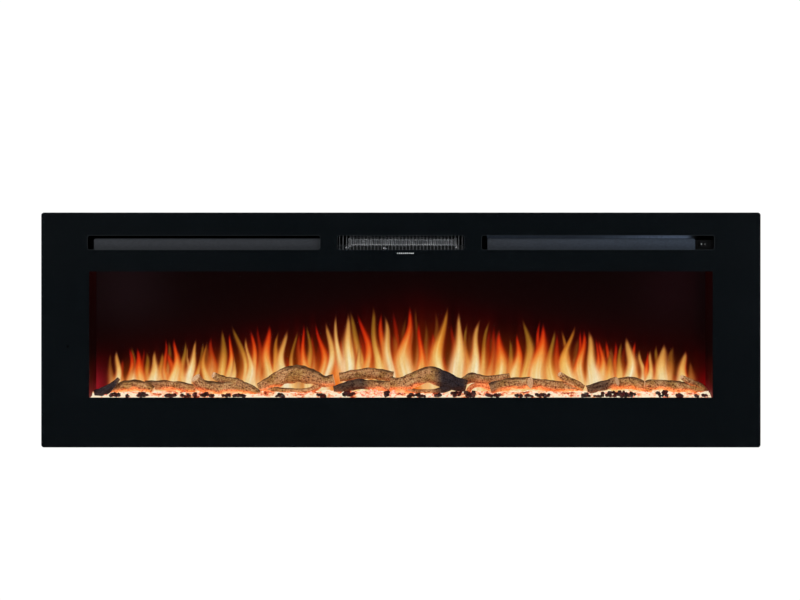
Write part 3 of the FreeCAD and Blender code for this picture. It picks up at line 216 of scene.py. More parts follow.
# slot: dark tone, light tone, patch size, roughness, grain size, grain depth, metallic, gloss, stretch
PLAIN_FINISHES = {
    "black_sheet": ((12, 13, 14), (17, 18, 20), 45, (0.42, 0.58), 0.9, 0.06, 0.0, 0.2),
    "dark_grille": ((72, 74, 77), (94, 96, 99), 12, (0.35, 0.5), 0.6, 0.02, 0.2),
    "mirror_sheet": ((205, 206, 208), (222, 223, 226), 30, (0.05, 0.14), 3.0, 0.02, 1.0, 0.5, (0.1, 1, 1)),
    "bright_steel": ((178, 180, 184), (214, 215, 219), 6, (0.2, 0.34), 0.5, 0.02, 1.0),
    "brass_bush": ((160, 122, 60), (196, 156, 84), 4, (0.32, 0.5), 0.4, 0.04, 1.0),
    "motor_can": ((150, 152, 156), (184, 186, 190), 14, (0.28, 0.42), 0.7, 0.02, 1.0),
    "bare_aluminium": ((222, 224, 228), (250, 251, 253), 8, (0.28, 0.45), 0.5, 0.03, 0.1, 0.8, (0.2, 1, 1)),
    "black_plastic": ((6, 6, 7), (10, 10, 11), 10, (0.4, 0.55), 0.5, 0.04, 0.0, 0.06),
    "white_plastic": ((216, 216, 209), (234, 234, 228), 9, (0.42, 0.58), 0.6, 0.03),
    "cable_jacket": ((18, 18, 19), (30, 30, 31), 5, (0.5, 0.66), 0.7, 0.04, 0.0, 0.3),
    "black_rubber": ((15, 15, 15), (25, 25, 26), 5, (0.68, 0.86), 0.5, 0.05, 0.0, 0.3),
    "dark_lens": ((4, 2, 3), (8, 3, 5), 2, (0.08, 0.16), 1.5, 0.01, 0.0, 0.1),
}


def glass_finish():
    """Clear toughened glass with a faint cool tint."""
    made = Finish("front_glass", Alpha=0.1, Specular_IOR_Level=0.05, IOR=1.45)
    clouds = made.grain(160, 1.0)
    made.colour(made.tones(clouds, (0.3, (4, 8, 9)), (0.7, (7, 11, 12))))
    made.rough(clouds, 0.015, 0.03)
    made.relief(made.grain(240, 1.0), 0.01, 0.1)
    return made.material


def print_finish():
    """Black ceramic print, seen through the glass."""
    made = Finish("black_print", Specular_IOR_Level=0.06)
    clouds = made.grain(90, 2.0)
    made.colour(made.tones(clouds, (0.2, (9, 14, 18)), (0.8, (11, 16, 20))))
    made.rough(clouds, 0.3, 0.42)
    made.relief(made.grain(0.8, 2.0), 0.01, 0.3)
    return made.material


def galvanised_finish():
    """Zinc-coated sheet with its crystal spangle."""
    made = Finish("galvanised", Metallic=1.0)
    spangle = made.mixed(0.5, made.cells(11), made.cells(5))
    made.colour(made.tones(spangle, (0.1, (140, 144, 149)), (0.9, (190, 194, 198))))
    made.rough(spangle, 0.3, 0.5)
    made.relief(made.grain(1.2, 2.0), 0.02, 0.3)
    return made.material


def strip_finish():
    """The dark grey intake strips under a fine rippled coat: a painted cool sheen makes them bluer to the
    right, and painted shade darkens their lower part, so they look paler above.
    """
    made = Finish("grey_strip", Specular_IOR_Level=0.2)
    ripple = made.grain(2.6, 3.0, (0.5, 1, 1))
    # Painted cool sheen that grows to the right, and painted shade over the strips' lower part.
    cool_sheen_share = made.between("X", 0.1, 0.6)
    paleness = made.between("Z", GLASS_LOW + 0.423, GLASS_LOW + 0.437)
    grey = made.tones(ripple, (0.3, (42, 45, 50)), (0.7, (50, 53, 59)))
    sheen_tones = made.tones(ripple, (0.3, (45, 53, 65)), (0.7, (54, 63, 77)))
    shadow = made.tones(paleness, (0.0, (220, 222, 222)), (1.0, (255, 255, 255)))
    made.colour(made.mixed(1.0, made.mixed(cool_sheen_share, grey, sheen_tones), shadow, "MULTIPLY"))
    made.rough(ripple, 0.48, 0.64)
    made.relief(ripple, 0.25, 0.5)
    return made.material


def board_finish():
    """Green solder mask over faint copper tracks."""
    made = Finish("circuit_board", Specular_IOR_Level=0.5)
    tracks = made.maths("MULTIPLY", made.bands(5, "X", 2.0), made.bands(7, "Z", 3.0))
    made.colour(made.tones(tracks, (0.25, (22, 66, 40)), (0.45, (36, 96, 58))))
    made.rough(made.grain(3), 0.28, 0.42)
    made.relief(tracks, 0.03, 0.4)
    return made.material


def liner_finish():
    """Dark satin end walls, lit red from below by the embers."""
    made = Finish("dark_liner", Specular_IOR_Level=0.05)
    clouds = made.grain(20, 2.0, (1, 1, 0.3))
    made.colour(made.tones(clouds, (0.3, (5, 1, 1)), (0.7, (8, 2, 2))))
    rise = made.between("Z", GLASS_LOW + 0.1, GLASS_LOW + 0.376)
    wavy = made.maths("ADD", rise, made.maths("MULTIPLY", made.maths("SUBTRACT", clouds, 0.5), 0.12))
    lower = ((0.0, (120, 26, 28)), (0.16, (56, 2, 2)), (0.34, (14, 0, 0)))
    made.glow(made.tones(wavy, *lower, (0.6, (15, 0, 0)), (1.0, (22, 0, 0))))
    made.rough(clouds, 0.5, 0.65)
    made.relief(made.grain(1.0), 0.04)
    return made.material


def screen_finish():
    """The woven flame screen: the painted flame light shows through its weave."""
    made = Finish("flame_screen", Specular_IOR_Level=0.01)
    weave = made.maths("MULTIPLY", made.bands(1.6, "X"), made.bands(1.6, "Z"))
    mottle = made.grain(3.2, 3.0, (1, 1, 0.6))
    made.colour(made.tones(weave, (0.2, (1, 0, 0)), (0.8, (3, 1, 1))))
    veil = made.tones(mottle, (0.2, (238, 238, 238)), (0.8, (255, 255, 255)))
    made.glow(made.mixed(1.0, made.attribute("flame_light", "Color"), veil, "MULTIPLY"), 1.22)
    made.rough(mottle, 0.6, 0.75)
    made.relief(weave, 0.1, 0.4)
    return made.material


def ember_finish():
    """Translucent resin bed, lit from beneath: white-hot hollows and darker crusts."""
    made = Finish("ember_resin", Specular_IOR_Level=0.3)
    crust = made.grain(4.5, 4.0)
    uneven = made.maths("MULTIPLY", made.maths("SUBTRACT", crust, 0.5), 1.1)
    heat = made.maths("ADD", made.attribute("bed_heat"), uneven)
    cool = ((0.0, (30, 3, 2)), (0.15, (136, 20, 10)), (0.29, (242, 112, 62)))
    hot = ((0.44, (255, 188, 130)), (0.64, (255, 242, 210)))
    made.colour(made.tones(crust, (0.35, (40, 10, 6)), (0.65, (120, 56, 30))))
    made.glow(made.tones(heat, *cool, *hot), 1.1)
    made.rough(crust, 0.35, 0.6)
    made.relief(crust, 0.8)
    return made.material


def chip_finish(name, dark, light, glow):
    """Loose chips: charred lumps with a dim painted ember glow, or lit glass."""
    made = Finish(name, Specular_IOR_Level=0.4)
    facets = made.grain(3.0, 3.0)
    made.colour(made.tones(facets, (0.35, dark), (0.65, light)))
    made.glow(made.tones(made.grain(6.0, 2.0), (0.42, glow[0]), (0.62, glow[1])))
    made.rough(facets, 0.25, 0.55)
    made.relief(facets, 0.4)
    return made.material


def bark_finish():
    """Hand-painted bark: painted shade on top, char, sawn ends, a painted ember glow on what faces the bed
    and faint painted warm light elsewhere.
    """
    made = Finish("bark", Specular_IOR_Level=0.1)
    run = made.attribute("run", "Vector")
    fibre_inputs = {"Vector": run, "Scale": 230.0, "Detail": 5.0, "Roughness": 0.7}
    fibre = made.node("ShaderNodeTexNoise", fibre_inputs).outputs["Fac"]
    speck = made.grain(3.2, 4.0)
    blend = made.mixed(0.55, fibre, speck)
    grooves = ((0.37, (52, 30, 20)), (0.43, (168, 112, 72)))
    wood = made.tones(blend, *grooves, (0.52, (232, 170, 114)), (0.64, (255, 220, 162)))
    moss = made.tones(made.grain(26, 2.0), (0.45, (255, 250, 246)), (0.6, (226, 222, 190)))
    shaded = made.tones(blend, (0.38, (32, 20, 13)), (0.58, (122, 90, 60)))
    charred = made.tones(blend, (0.4, (10, 11, 17)), (0.6, (40, 43, 60)))
    sawn = made.tones(speck, (0.35, (222, 178, 134)), (0.65, (255, 226, 186)))
    flecks = made.tones(made.cells(8, "Distance"), (0.1, (112, 84, 66)), (0.3, (255, 255, 255)))
    weathered = made.mixed(1.0, made.mixed(1.0, wood, moss, "MULTIPLY"), flecks, "MULTIPLY")
    # Painted shade: upward-facing bark is mixed towards the shaded tones.
    bark = made.mixed(made.attribute("crown"), weathered, shaded)
    burnt = made.mixed(made.attribute("char"), bark, charred)
    made.colour(made.mixed(made.attribute("cut"), burnt, sawn))
    # Painted light: an ember glow on what faces the bed over a faint warm glow on all the bark, and a warm
    # glow on the sawn ends.
    flicker = made.maths("MULTIPLY", made.attribute("ember"), made.maths("ADD", made.grain(7, 3.0), 0.45))
    faint = ((0.0, (44, 21, 10)), (0.22, (92, 25, 11)), (0.46, (216, 78, 34)))
    lit = made.tones(flicker, *faint, (0.72, (250, 132, 66)), (1.0, (255, 204, 146)))
    sawn_light = made.tones(speck, (0.35, (112, 76, 50)), (0.65, (146, 106, 74)))
    bark_light = made.mixed(made.attribute("char"), lit, shade((9, 7, 10)))
    made.glow(made.mixed(made.attribute("cut"), bark_light, sawn_light), 0.95)
    made.rough(blend, 0.6, 0.85)
    made.relief(blend, 1.1, 0.8)
    return made.material


def mark_finish():
    """White enamel for the small marks, with a faint painted glow that keeps them bright."""
    made = Finish("white_mark", Specular_IOR_Level=0.3)
    clouds = made.grain(2)
    made.colour(made.tones(clouds, (0.3, (190, 195, 197)), (0.7, (215, 218, 220))))
    # Painted glow that brightens the enamel.
    made.glow(made.tones(clouds, (0.3, (60, 63, 65)), (0.7, (74, 77, 79))))
    made.rough(clouds, 0.4, 0.5)
    made.relief(made.grain(0.4), 0.01)
    return made.material


def shine_finish(name, dark, light, glow_share):
    """A dark finish that lightens with the piece's own shine attribute."""
    made = Finish(name, Specular_IOR_Level=0.1)
    shine = made.attribute("shine")
    wavy = made.maths("MULTIPLY", shine, made.maths("ADD", made.grain(4.0, 2.0), 0.5))
    made.colour(made.tones(wavy, (0.0, dark), (1.0, light)))
    made.glow(made.tones(wavy, (0.0, (0, 0, 0)), (1.0, light)), glow_share)
    made.rough(wavy, 0.4, 0.6)
    made.relief(made.grain(1.5, 2.0), 0.02, 0.2)
    return made.material


def all_finishes():
    """Every material, by the name of its slot."""
    finishes = {slot: plain_finish(slot, *row) for slot, row in PLAIN_FINISHES.items()}
    lit = ((236, 120, 92), (255, 226, 196))
    # A dim painted red ember glow for the charred lumps.
    char_glow = ((4, 0, 0), (72, 6, 4))
    return finishes | {
        "front_glass": glass_finish(),
        "black_print": print_finish(),
        "galvanised": galvanised_finish(),
        "grey_strip": strip_finish(),
        "circuit_board": board_finish(),
        "dark_liner": liner_finish(),
        "flame_screen": screen_finish(),
        "ember_resin": ember_finish(),
        "bark": bark_finish(),
        "ground_edge": shine_finish("ground_edge", (9, 13, 16), (26, 30, 33), 0.3),
        "cool_baffle": shine_finish("cool_baffle", (4, 5, 7), (58, 67, 82), 0.8),
        "ember_chips": chip_finish("ember_chips", (150, 70, 50), (214, 140, 112), lit),
        "char_chips": chip_finish("char_chips", (8, 3, 3), (34, 10, 8), char_glow),
        "white_mark": mark_finish(),
    }


finish = all_finishes()


def dress_cad_nodes():
    """Gives every CAD node the material of its slot."""
    for part in frame["record"]["subparts"]:
        mesh = frame["nodes"][part["node"]].data
        mesh.materials.clear()
        mesh.materials.append(finish[part["material_slot"]])
    draw_in(frame["nodes"]["glass_border_print"])


HAIR = 0.04


def draw_in(node):
    """Draws a node's surface in by a hair, so that it doesn't share a plane with the glass."""
    hair = node.modifiers.new("hair", "DISPLACE")
    hair.strength = -HAIR / 1000
    hair.mid_level = 0.0


# ---- Meshes ----


def new_piece(name, points, faces, material, body="housing", smooth_shading=True, **attributes):
    """A mesh piece from points in the fireplace's millimetres, with its attributes, on a body."""
    points = np.asarray(points, float)
    mesh = bpy.data.meshes.new(name)
    placed = np.column_stack(place(points[:, 0], points[:, 1], points[:, 2]))
    mesh.from_pydata(placed.tolist(), [], faces)
    mesh.materials.append(material)
    kinds = {1: ("FLOAT", "value"), 3: ("FLOAT_VECTOR", "vector"), 4: ("FLOAT_COLOR", "color")}
    for key, values in attributes.items():
        values = np.asarray(values, np.float32)
        kind, field = kinds[1 if values.ndim == 1 else values.shape[1]]
        mesh.attributes.new(key, kind, "POINT").data.foreach_set(field, values.ravel())
    mesh.shade_smooth() if smooth_shading else mesh.shade_flat()
    piece = bpy.data.objects.new(name, mesh)
    bpy.context.scene.collection.objects.link(piece)
    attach(piece, body)
    return piece


def sheet_faces(columns, rows, start=0):
    """Quads of a grid whose points run column by column."""
    corners = [(i * rows + j) + start for i in range(columns - 1) for j in range(rows - 1)]
    return [(c, c + rows, c + rows + 1, c + 1) for c in corners]


def sheet_rim(columns, rows):
    """The grid's outline as a list of point numbers, in order round it."""
    left = list(range(rows - 1, 0, -1))
    bottom = [i * rows for i in range(columns - 1)]
    right = [(columns - 1) * rows + j for j in range(rows - 1)]
    top = [i * rows + rows - 1 for i in range(columns - 1, 0, -1)]
    return bottom + right + top + left


def backed_sheet(name, grid, columns, rows, material, fwd=None, up=None, **attributes):
    """A relief grid closed into a solid by a flat back, which lies at one fwd or at one up."""
    rim = sheet_rim(columns, rows)
    back = grid[rim]
    if fwd is not None:
        back[:, 1] = fwd
    if up is not None:
        back[:, 2] = up
    first = len(grid)
    faces = sheet_faces(columns, rows)
    for k in range(len(rim)):
        after = (k + 1) % len(rim)
        faces.append((rim[after], rim[k], first + k, first + after))
    faces.append(tuple(first + k for k in range(len(rim) - 1, -1, -1)))
    padded = {key: np.concatenate([values, np.asarray(values)[rim]]) for key, values in attributes.items()}
    return new_piece(name, np.vstack([grid, back]), faces, material, **padded)


# ---- The flame picture on the screen ----

# The flames are laid out on the glass and thrown back to the screen from in front, which enlarges them.
EYE_UP = 312.5
THROW = 1.024
FOOT = 105.0

TONE_PLACES = (0.12, 0.34, 0.48, 0.62, 0.8, 1.0)
FLAME_TONES = {
    "cream": (
        (255, 252, 230), (255, 244, 202), (255, 220, 150), (236, 178, 100), (190, 136, 68), (104, 70, 26),
    ),
    "gold": ((255, 246, 204), (255, 222, 144), (250, 182, 88), (210, 136, 50), (158, 102, 32), (88, 56, 14)),
    "olive": ((255, 236, 170), (250, 202, 112), (218, 154, 66), (170, 118, 38), (134, 98, 28), (86, 62, 12)),
    "orange": ((255, 246, 208), (255, 218, 146), (255, 166, 80), (240, 96, 28), (196, 40, 10), (104, 6, 4)),
    "red": ((255, 236, 184), (255, 186, 106), (250, 120, 42), (226, 62, 14), (174, 24, 6), (90, 2, 6)),
}

# foot x, tip x, tip height, width, tone, sideways bow, strength
TONGUES = [
    (-612, -615, 203, 11, "olive", 0, 0.5), (-598, -601, 208, 14, "cream", 0, 1),
    (-590, -590, 190, 12, "orange", 0, 0.5), (-570, -576, 214, 14, "red", 3, 0.9),
    (-566, -570, 217, 8, "olive", 3, 0.8), (-550, -560, 215, 16, "red", 2, 1),
    (-559, -557, 190, 30, "cream", 0, 0.95), (-544, -545, 213, 6, "red", 0, 0.5),
    (-534, -540, 205, 12, "olive", 2, 0.9), (-521, -520, 209, 19, "cream", -2, 1),
    (-511, -505, 205, 14, "gold", 0, 0.9), (-498, -499, 235, 9, "red", 0, 0.8),
    (-491, -491, 230, 9, "olive", 0, 0.7), (-480, -479, 235, 16, "orange", 2, 1),
    (-479, -494, 205, 24, "orange", 4, 0.9), (-456, -455, 229, 12, "olive", -6, 0.9),
    (-452, -450, 218, 6, "cream", 0, 0.8), (-444, -431, 233, 14, "cream", -6, 1),
    (-431, -417, 227, 12, "olive", -2, 0.85), (-404, -412, 227, 12, "gold", -8, 0.9),
    (-401, -401, 238, 20, "orange", 0, 0.6), (-376, -378, 255, 16, "olive", 0, 0.95),
    (-361, -362, 246, 12, "orange", 0, 1), (-357, -352, 194, 10, "cream", 0, 1),
    (-330, -359, 262, 14, "olive", 9, 0.95), (-322, -328, 238, 12, "cream", 3, 1),
    (-313, -320, 253, 12, "orange", 6, 0.95), (-299, -302, 264, 12, "red", 0, 0.5),
    (-282, -280, 264, 20, "orange", 0, 1), (-255, -257, 249, 14, "gold", -11, 0.95),
    (-245, -241, 253, 20, "cream", -8, 1), (-233, -219, 251, 10, "olive", -3, 0.85),
    (-201, -207, 266, 12, "red", 0, 0.95), (-194, -199, 264, 10, "olive", 2, 0.9),
    (-186, -188, 242, 12, "orange", 0, 0.5), (-170, -181, 268, 14, "red", 9, 0.95),
    (-161, -158, 270, 16, "cream", 11, 1), (-120, -138, 286, 14, "cream", -5, 1),
    (-137, -139, 200, 14, "orange", 0, 0.9), (-117, -113, 290, 24, "cream", 6, 1),
    (-98, -111, 294, 18, "olive", 15, 0.95), (-85, -91, 225, 12, "cream", 0, 1),
    (-74, -91, 288, 16, "red", 9, 0.95), (-57, -61, 303, 18, "olive", 8, 0.95),
    (-41, -41, 290, 14, "orange", 2, 0.9), (-32, -37, 284, 18, "cream", 10, 0.95),
    (-8, -17, 294, 14, "red", 2, 0.5), (-12, -15, 246, 24, "gold", 0, 0.5),
    (9, 20, 305, 24, "orange", -3, 0.95), (35, 33, 303, 10, "olive", 0, 0.5),
    (49, 39, 270, 16, "red", -4, 1), (60, 50, 270, 14, "olive", 0, 0.5),
    (70, 73, 294, 12, "olive", 0, 0.5), (68, 66, 248, 20, "orange", 0, 0.8),
    (90, 101, 303, 22, "gold", -13, 1), (112, 107, 268, 14, "red", 3, 0.5),
    (122, 124, 292, 24, "cream", -2, 1), (142, 141, 268, 14, "olive", -3, 0.9),
    (163, 169, 275, 22, "cream", -11, 1), (176, 190, 273, 14, "olive", -10, 0.9),
    (186, 199, 262, 14, "red", 0, 0.5), (210, 209, 253, 24, "orange", 0, 1),
    (232, 228, 235, 16, "olive", 6, 0.9), (245, 247, 246, 18, "orange", 0, 1),
    (254, 257, 277, 20, "olive", 16, 0.95), (280, 295, 273, 14, "red", 2, 0.95),
    (293, 301, 268, 26, "orange", -2, 1), (324, 326, 253, 18, "olive", -9, 0.95),
    (330, 328, 246, 14, "red", 4, 0.6), (360, 340, 253, 14, "gold", -2, 0.9),
    (362, 369, 262, 20, "gold", -16, 1), (372, 381, 253, 12, "red", 0, 0.95),
    (378, 386, 253, 14, "orange", 2, 0.95), (403, 396, 251, 24, "cream", 5, 1),
    (417, 414, 235, 10, "red", 0, 0.95), (415, 419, 231, 16, "orange", 9, 0.95),
    (426, 430, 215, 20, "gold", 0, 0.5), (437, 433, 231, 12, "orange", 8, 0.85),
    (440, 441, 203, 20, "gold", 0, 0.9), (460, 452, 229, 10, "red", 0, 0.8),
    (452, 466, 227, 14, "olive", 6, 0.9), (476, 477, 238, 22, "cream", 9, 1),
    (490, 496, 229, 14, "orange", 0, 0.9), (520, 505, 209, 14, "cream", -3, 1),
    (522, 522, 207, 10, "red", 0, 1), (525, 529, 209, 14, "cream", 0, 1),
    (543, 541, 220, 12, "olive", 0, 0.9), (552, 556, 223, 28, "cream", 0, 1),
    (571, 579, 218, 20, "olive", -8, 0.7), (597, 602, 207, 22, "cream", -2, 1),
    (603, 602, 206, 8, "red", 0, 0.9), (614, 612, 185, 16, "gold", 0, 0.5),
]


def dark_ground(x, up):
    """The screen away from the flames: near black, greyer in the top corners with a painted reflection of the
    room's light, redder low down.
    """
    crest = flame_crest(x)
    colour = np.full(x.shape + (3,), (14.0, 3.0, 3.0))
    high = smooth(215, 330, up)
    # Painted reflection of the room's light, greying the top corners.
    for middle, reach, tint in ((-580, 90, (10, 9, 11)), (575, 80, (9, 4, 6))):
        patch = np.exp(-(((x - middle) / reach) ** 2)) * high
        colour += patch[..., None] * tint
    near = np.exp(-np.clip(up - crest + 10, 0, None) / 32)
    colour += near[..., None] * (30, -2, -2)
    left = np.exp(-(((x + 660) / 42) ** 2)) * np.exp(-(((up - 128) / 42) ** 2))
    right = np.exp(-(((x - 655) / 36) ** 2)) * np.exp(-(((up - 122) / 38) ** 2))
    colour += left[..., None] * (118, 26, 38) + right[..., None] * (96, 6, 8)
    edge = smooth(612, 640, x) * smooth(150, 210, up)
    return np.clip(colour, 0, 255) * (1 - 0.25 * edge[..., None])


def flame_crest(x):
    """The height that the flames reach along the screen."""
    return 305 - 100 * np.clip(np.abs(x - 30) / 620, 0, 1.1) ** 0.9


def back_glow(x, up):
    """The blurred glow between the tongues, with its share of cover."""
    share = (up - FOOT) / (flame_crest(x) - FOOT)
    low = ((0.0, (216, 122, 48)), (0.2, (158, 74, 12)), (0.4, (120, 46, 2)), (0.55, (104, 33, 0)))
    high = ((0.72, (74, 17, 0)), (0.86, (50, 5, 1)), (1.0, (34, 1, 1)), (1.25, (22, 1, 2)))
    colour = ramp(share, low + high)
    streaks = 0.75 + 0.5 * soft_noise(x, up, 11, 90, 3)
    ends = 1 - 0.2 * smooth(380, 620, np.abs(x))
    cover = (1 - smooth(0.9, 1.25, share)) * (1 - smooth(585, 640, np.abs(x - 4)))
    return colour * (streaks * ends)[..., None], cover


def add_tongue(picture, x, up, tongue, chance):
    """Lays one tongue of flame, with its red fringe, over the picture."""
    foot, tip, top, wide, tone, bow, strength = tongue
    reach = wide + abs(tip - foot) + abs(bow) + 16
    columns = np.where(np.abs(x[:, 0] - (foot + tip) / 2) < reach)[0]
    part = slice(columns[0], columns[-1] + 1)
    x, up = x[part], up[part]
    t = np.clip((up - FOOT) / (top - FOOT), 0, 1)
    sway = (top - FOOT) / 190 * chance.uniform(4, 8) * chance.choice((-1, 1))
    snake = sway * np.sin(2 * math.pi * (t * chance.uniform(1.0, 1.5) + chance.uniform(-0.12, 0.12)))
    middle = foot + (tip - foot) * t**1.5 + bow * np.sin(math.pi * t) + snake * (1 - t) ** 0.35
    swell = 1 + 0.2 * np.sin(7 * t + chance.uniform(0, 6))
    half = wide / 2 * (1 - t) ** 1.05 * (1.26 + 0.94 * t) * swell
    across = (x - middle) / (half + 0.7)
    keen = chance.choice((-1, 1))
    fade = strength * (1 - smooth(0.84, 1.0, t))
    lopsided = np.where(across * keen > 0, np.abs(across) ** 5, (np.abs(across) * 0.86) ** 2.6)
    stops = list(zip(TONE_PLACES, FLAME_TONES[tone]))
    fringe_tone = "orange" if tone in ("cream", "orange") else "red"
    fringe = ramp(t + 0.3, list(zip(TONE_PLACES, FLAME_TONES[fringe_tone])))
    picture[part] += (fringe - picture[part]) * (0.45 * fade * np.exp(-((across / 1.35) ** 4)))[..., None]
    core = 0.13 * np.exp(-((across + 0.15 * keen) ** 2) * 1.6)
    colour = ramp(t - core + 0.02, stops)
    streak = soft_noise(x - middle + 300, up, 3.4, 55, chance.randrange(999))[..., None]
    colour *= 1 - (1 - streak) * (0.05, 0.17, 0.36)
    picture[part] += (colour - picture[part]) * (fade * np.exp(-lopsided))[..., None]


# Patches of deep orange low in the picture: middle, height, half width, half height and strength.
DEEP_ORANGE = ((27, 124, 20, 17, 1.0), (-138, 134, 15, 28, 0.9))


def flame_picture(x, up):
    """Display colours of the whole screen at points of the flame drawing."""
    picture = dark_ground(x, up)
    glow, cover = back_glow(x, up)
    picture += (glow - picture) * cover[..., None]
    chance = random.Random(11)
    for tongue in faint_tongues(chance) + sorted(TONGUES, key=lambda row: row[6]):
        add_tongue(picture, x, up, tongue, chance)
    hearth = np.exp(-np.clip(up - 112, 0, None) / 22) * (1 - smooth(570, 640, np.abs(x)))
    picture += (np.array((255, 196, 112)) - picture) * (0.34 * hearth)[..., None]
    for middle, height, half_wide, half_tall, strength in DEEP_ORANGE:
        patch = strength * np.exp(-(((x - middle) / half_wide) ** 2) - ((up - height) / half_tall) ** 2)
        picture += (np.array((240, 112, 30)) - picture) * patch[..., None]
    return picture


FAINT_COUNT = 110
FAINT_REACH = 606


def faint_tongues(chance):
    """Softer tongues that fill in behind the drawn ones."""
    tongues = []
    for k in range(FAINT_COUNT):
        foot = FAINT_REACH * (2 * (k + chance.uniform(0, 1)) / FAINT_COUNT - 1)
        top = FOOT + (float(flame_crest(foot)) - FOOT) * chance.uniform(0.45, 0.95)
        tone = chance.choice(("orange", "gold", "olive", "orange", "cream", "red"))
        wide, lean = chance.uniform(12, 24), chance.uniform(-8, 8)
        bow, strength = chance.uniform(-5, 5), chance.uniform(0.2, 0.45)
        tongues.append((foot, foot + lean, top, wide, tone, bow, strength))
    return tongues


def make_flame_screen():
    """The screen with a fine front face that carries the flame light, point by point."""
    (left, right), (back, front), (low, high) = span("flame_screen")
    columns = round((right - left) / 2.0) + 1
    rows = round((high - low) / 2.4) + 1
    x, up = np.meshgrid(np.linspace(left, right, columns), np.linspace(low, high, rows), indexing="ij")
    drawing = flame_picture(x / THROW, EYE_UP + (up - EYE_UP) / THROW)
    light = np.concatenate([linear(drawing), np.ones(x.shape + (1,))], axis=-1).reshape(-1, 4)
    grid = np.column_stack([x.ravel(), np.full(x.size, front), up.ravel()])
    material = finish["flame_screen"]
    screen = backed_sheet("flame_screen_lit", grid, columns, rows, material, fwd=back, flame_light=light)
    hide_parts("flame_screen")


# ---- The ember bed and its chips ----


# The bed's front edge and height there, and how far it rises over its first stretch inwards.
BED_FRONT = 146.5
BED_LOW = 105
BED_RISE = 10
RISE_STRETCH = 36


def bed_up(x, fwd):
    """Height of the lumpy ember bed."""
    slope = BED_LOW + BED_RISE * smooth(0, RISE_STRETCH, BED_FRONT - np.asarray(fwd))
    lumps = 5.5 * soft_noise(x, fwd, 11, 9, 21) + 2.6 * soft_noise(x, fwd, 4.2, 4, 22) - 4
    return slope + lumps * (0.2 + 0.8 * smooth(2, 14, BED_FRONT - np.asarray(fwd)))


def make_ember_bed():
    """The moulded bed, its lumps as relief and its inner light as heat per point."""
    (left, right), (rear, front), (low, _) = span("ember_tray")
    columns = round((right - left) / 2.2) + 1
    rows = round((front - rear) / 2.2) + 1
    x, fwd = np.meshgrid(np.linspace(left, right, columns), np.linspace(front, rear, rows), indexing="ij")
    up = bed_up(x, fwd)
    heat = 0.5 + 0.75 * (soft_noise(x, fwd, 26, 18, 31) - 0.45) + 0.6 * (soft_noise(x, fwd, 8, 7, 32) - 0.5)
    heat += 0.16 * smooth(118, 140, fwd)
    grid = np.column_stack([x.ravel(), fwd.ravel(), up.ravel()])
    material = finish["ember_resin"]
    bed = backed_sheet("ember_bed", grid, columns, rows, material, up=low, bed_heat=heat.ravel())
    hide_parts("ember_tray")


GOLDEN = (1 + math.sqrt(5)) / 2
LUMP_POINTS = [
    Vector(p).normalized()
    for p in (
        (-1, GOLDEN, 0), (1, GOLDEN, 0), (-1, -GOLDEN, 0), (1, -GOLDEN, 0),
        (0, -1, GOLDEN), (0, 1, GOLDEN), (0, -1, -GOLDEN), (0, 1, -GOLDEN),
        (GOLDEN, 0, -1), (GOLDEN, 0, 1), (-GOLDEN, 0, -1), (-GOLDEN, 0, 1),
    )
]
LUMP_FACES = [
    (0, 11, 5), (0, 5, 1), (0, 1, 7), (0, 7, 10), (0, 10, 11), (1, 5, 9), (5, 11, 4),
    (11, 10, 2), (10, 7, 6), (7, 1, 8), (3, 9, 4), (3, 4, 2), (3, 2, 6), (3, 6, 8),
    (3, 8, 9), (4, 9, 5), (2, 4, 11), (6, 2, 10), (8, 6, 7), (9, 8, 1),
]


class Lumps:
    """Gathers many small angular lumps into one mesh."""

    def __init__(self, seed):
        self.chance = random.Random(seed)
        self.points = []
        self.faces = []

    def add(self, x, fwd, up, size):
        """One twenty-sided lump, squeezed and knocked out of true."""
        uniform = self.chance.uniform
        squeeze = (uniform(0.8, 1.25), uniform(0.7, 1.1), uniform(0.65, 1.0))
        turn = (uniform(0, 6), uniform(0, 6), uniform(0, 6))
        spin = Euler(turn).to_matrix()
        first = len(self.points)
        for corner in LUMP_POINTS:
            knocked = spin @ (corner * uniform(0.72, 1.12))
            offsets = [along * share * size / 2 for along, share in zip(knocked, squeeze)]
            self.points.append((x + offsets[0], fwd + offsets[1], up + offsets[2]))
        self.faces += [tuple(first + k for k in face) for face in LUMP_FACES]

    def piece(self, name, material):
        made = new_piece(name, self.points, self.faces, material, smooth_shading=False)
        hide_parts("ember_chips")


# Heaps of charred lumps along the front of the bed: middle, width and height.
CHAR_HEAPS = (
    (-608, 18, 12), (-581, 9, 7), (-549, 24, 13), (-491, 22, 10), (-451, 30, 11), (-412, 24, 12),
    (-357, 52, 9), (-258, 16, 10), (-170, 20, 10), (-110, 20, 15), (-30, 9, 15), (33, 36, 10),
    (81, 12, 10), (119, 22, 15), (147, 20, 14), (188, 13, 9), (206, 12, 9), (249, 16, 10),
    (271, 14, 8), (300, 30, 11), (393, 14, 11), (412, 30, 6), (461, 72, 15), (555, 20, 16),
    (592, 16, 9), (627, 9, 6), (646, 13, 8),
)
# What the lumps of char rest on, and how far the bed's chips reach to each side.
CHAR_FOOT = 107.5
CHIP_REACH = 650
LIT_COUNT = 300
LIT_HEAP_COUNT = 60


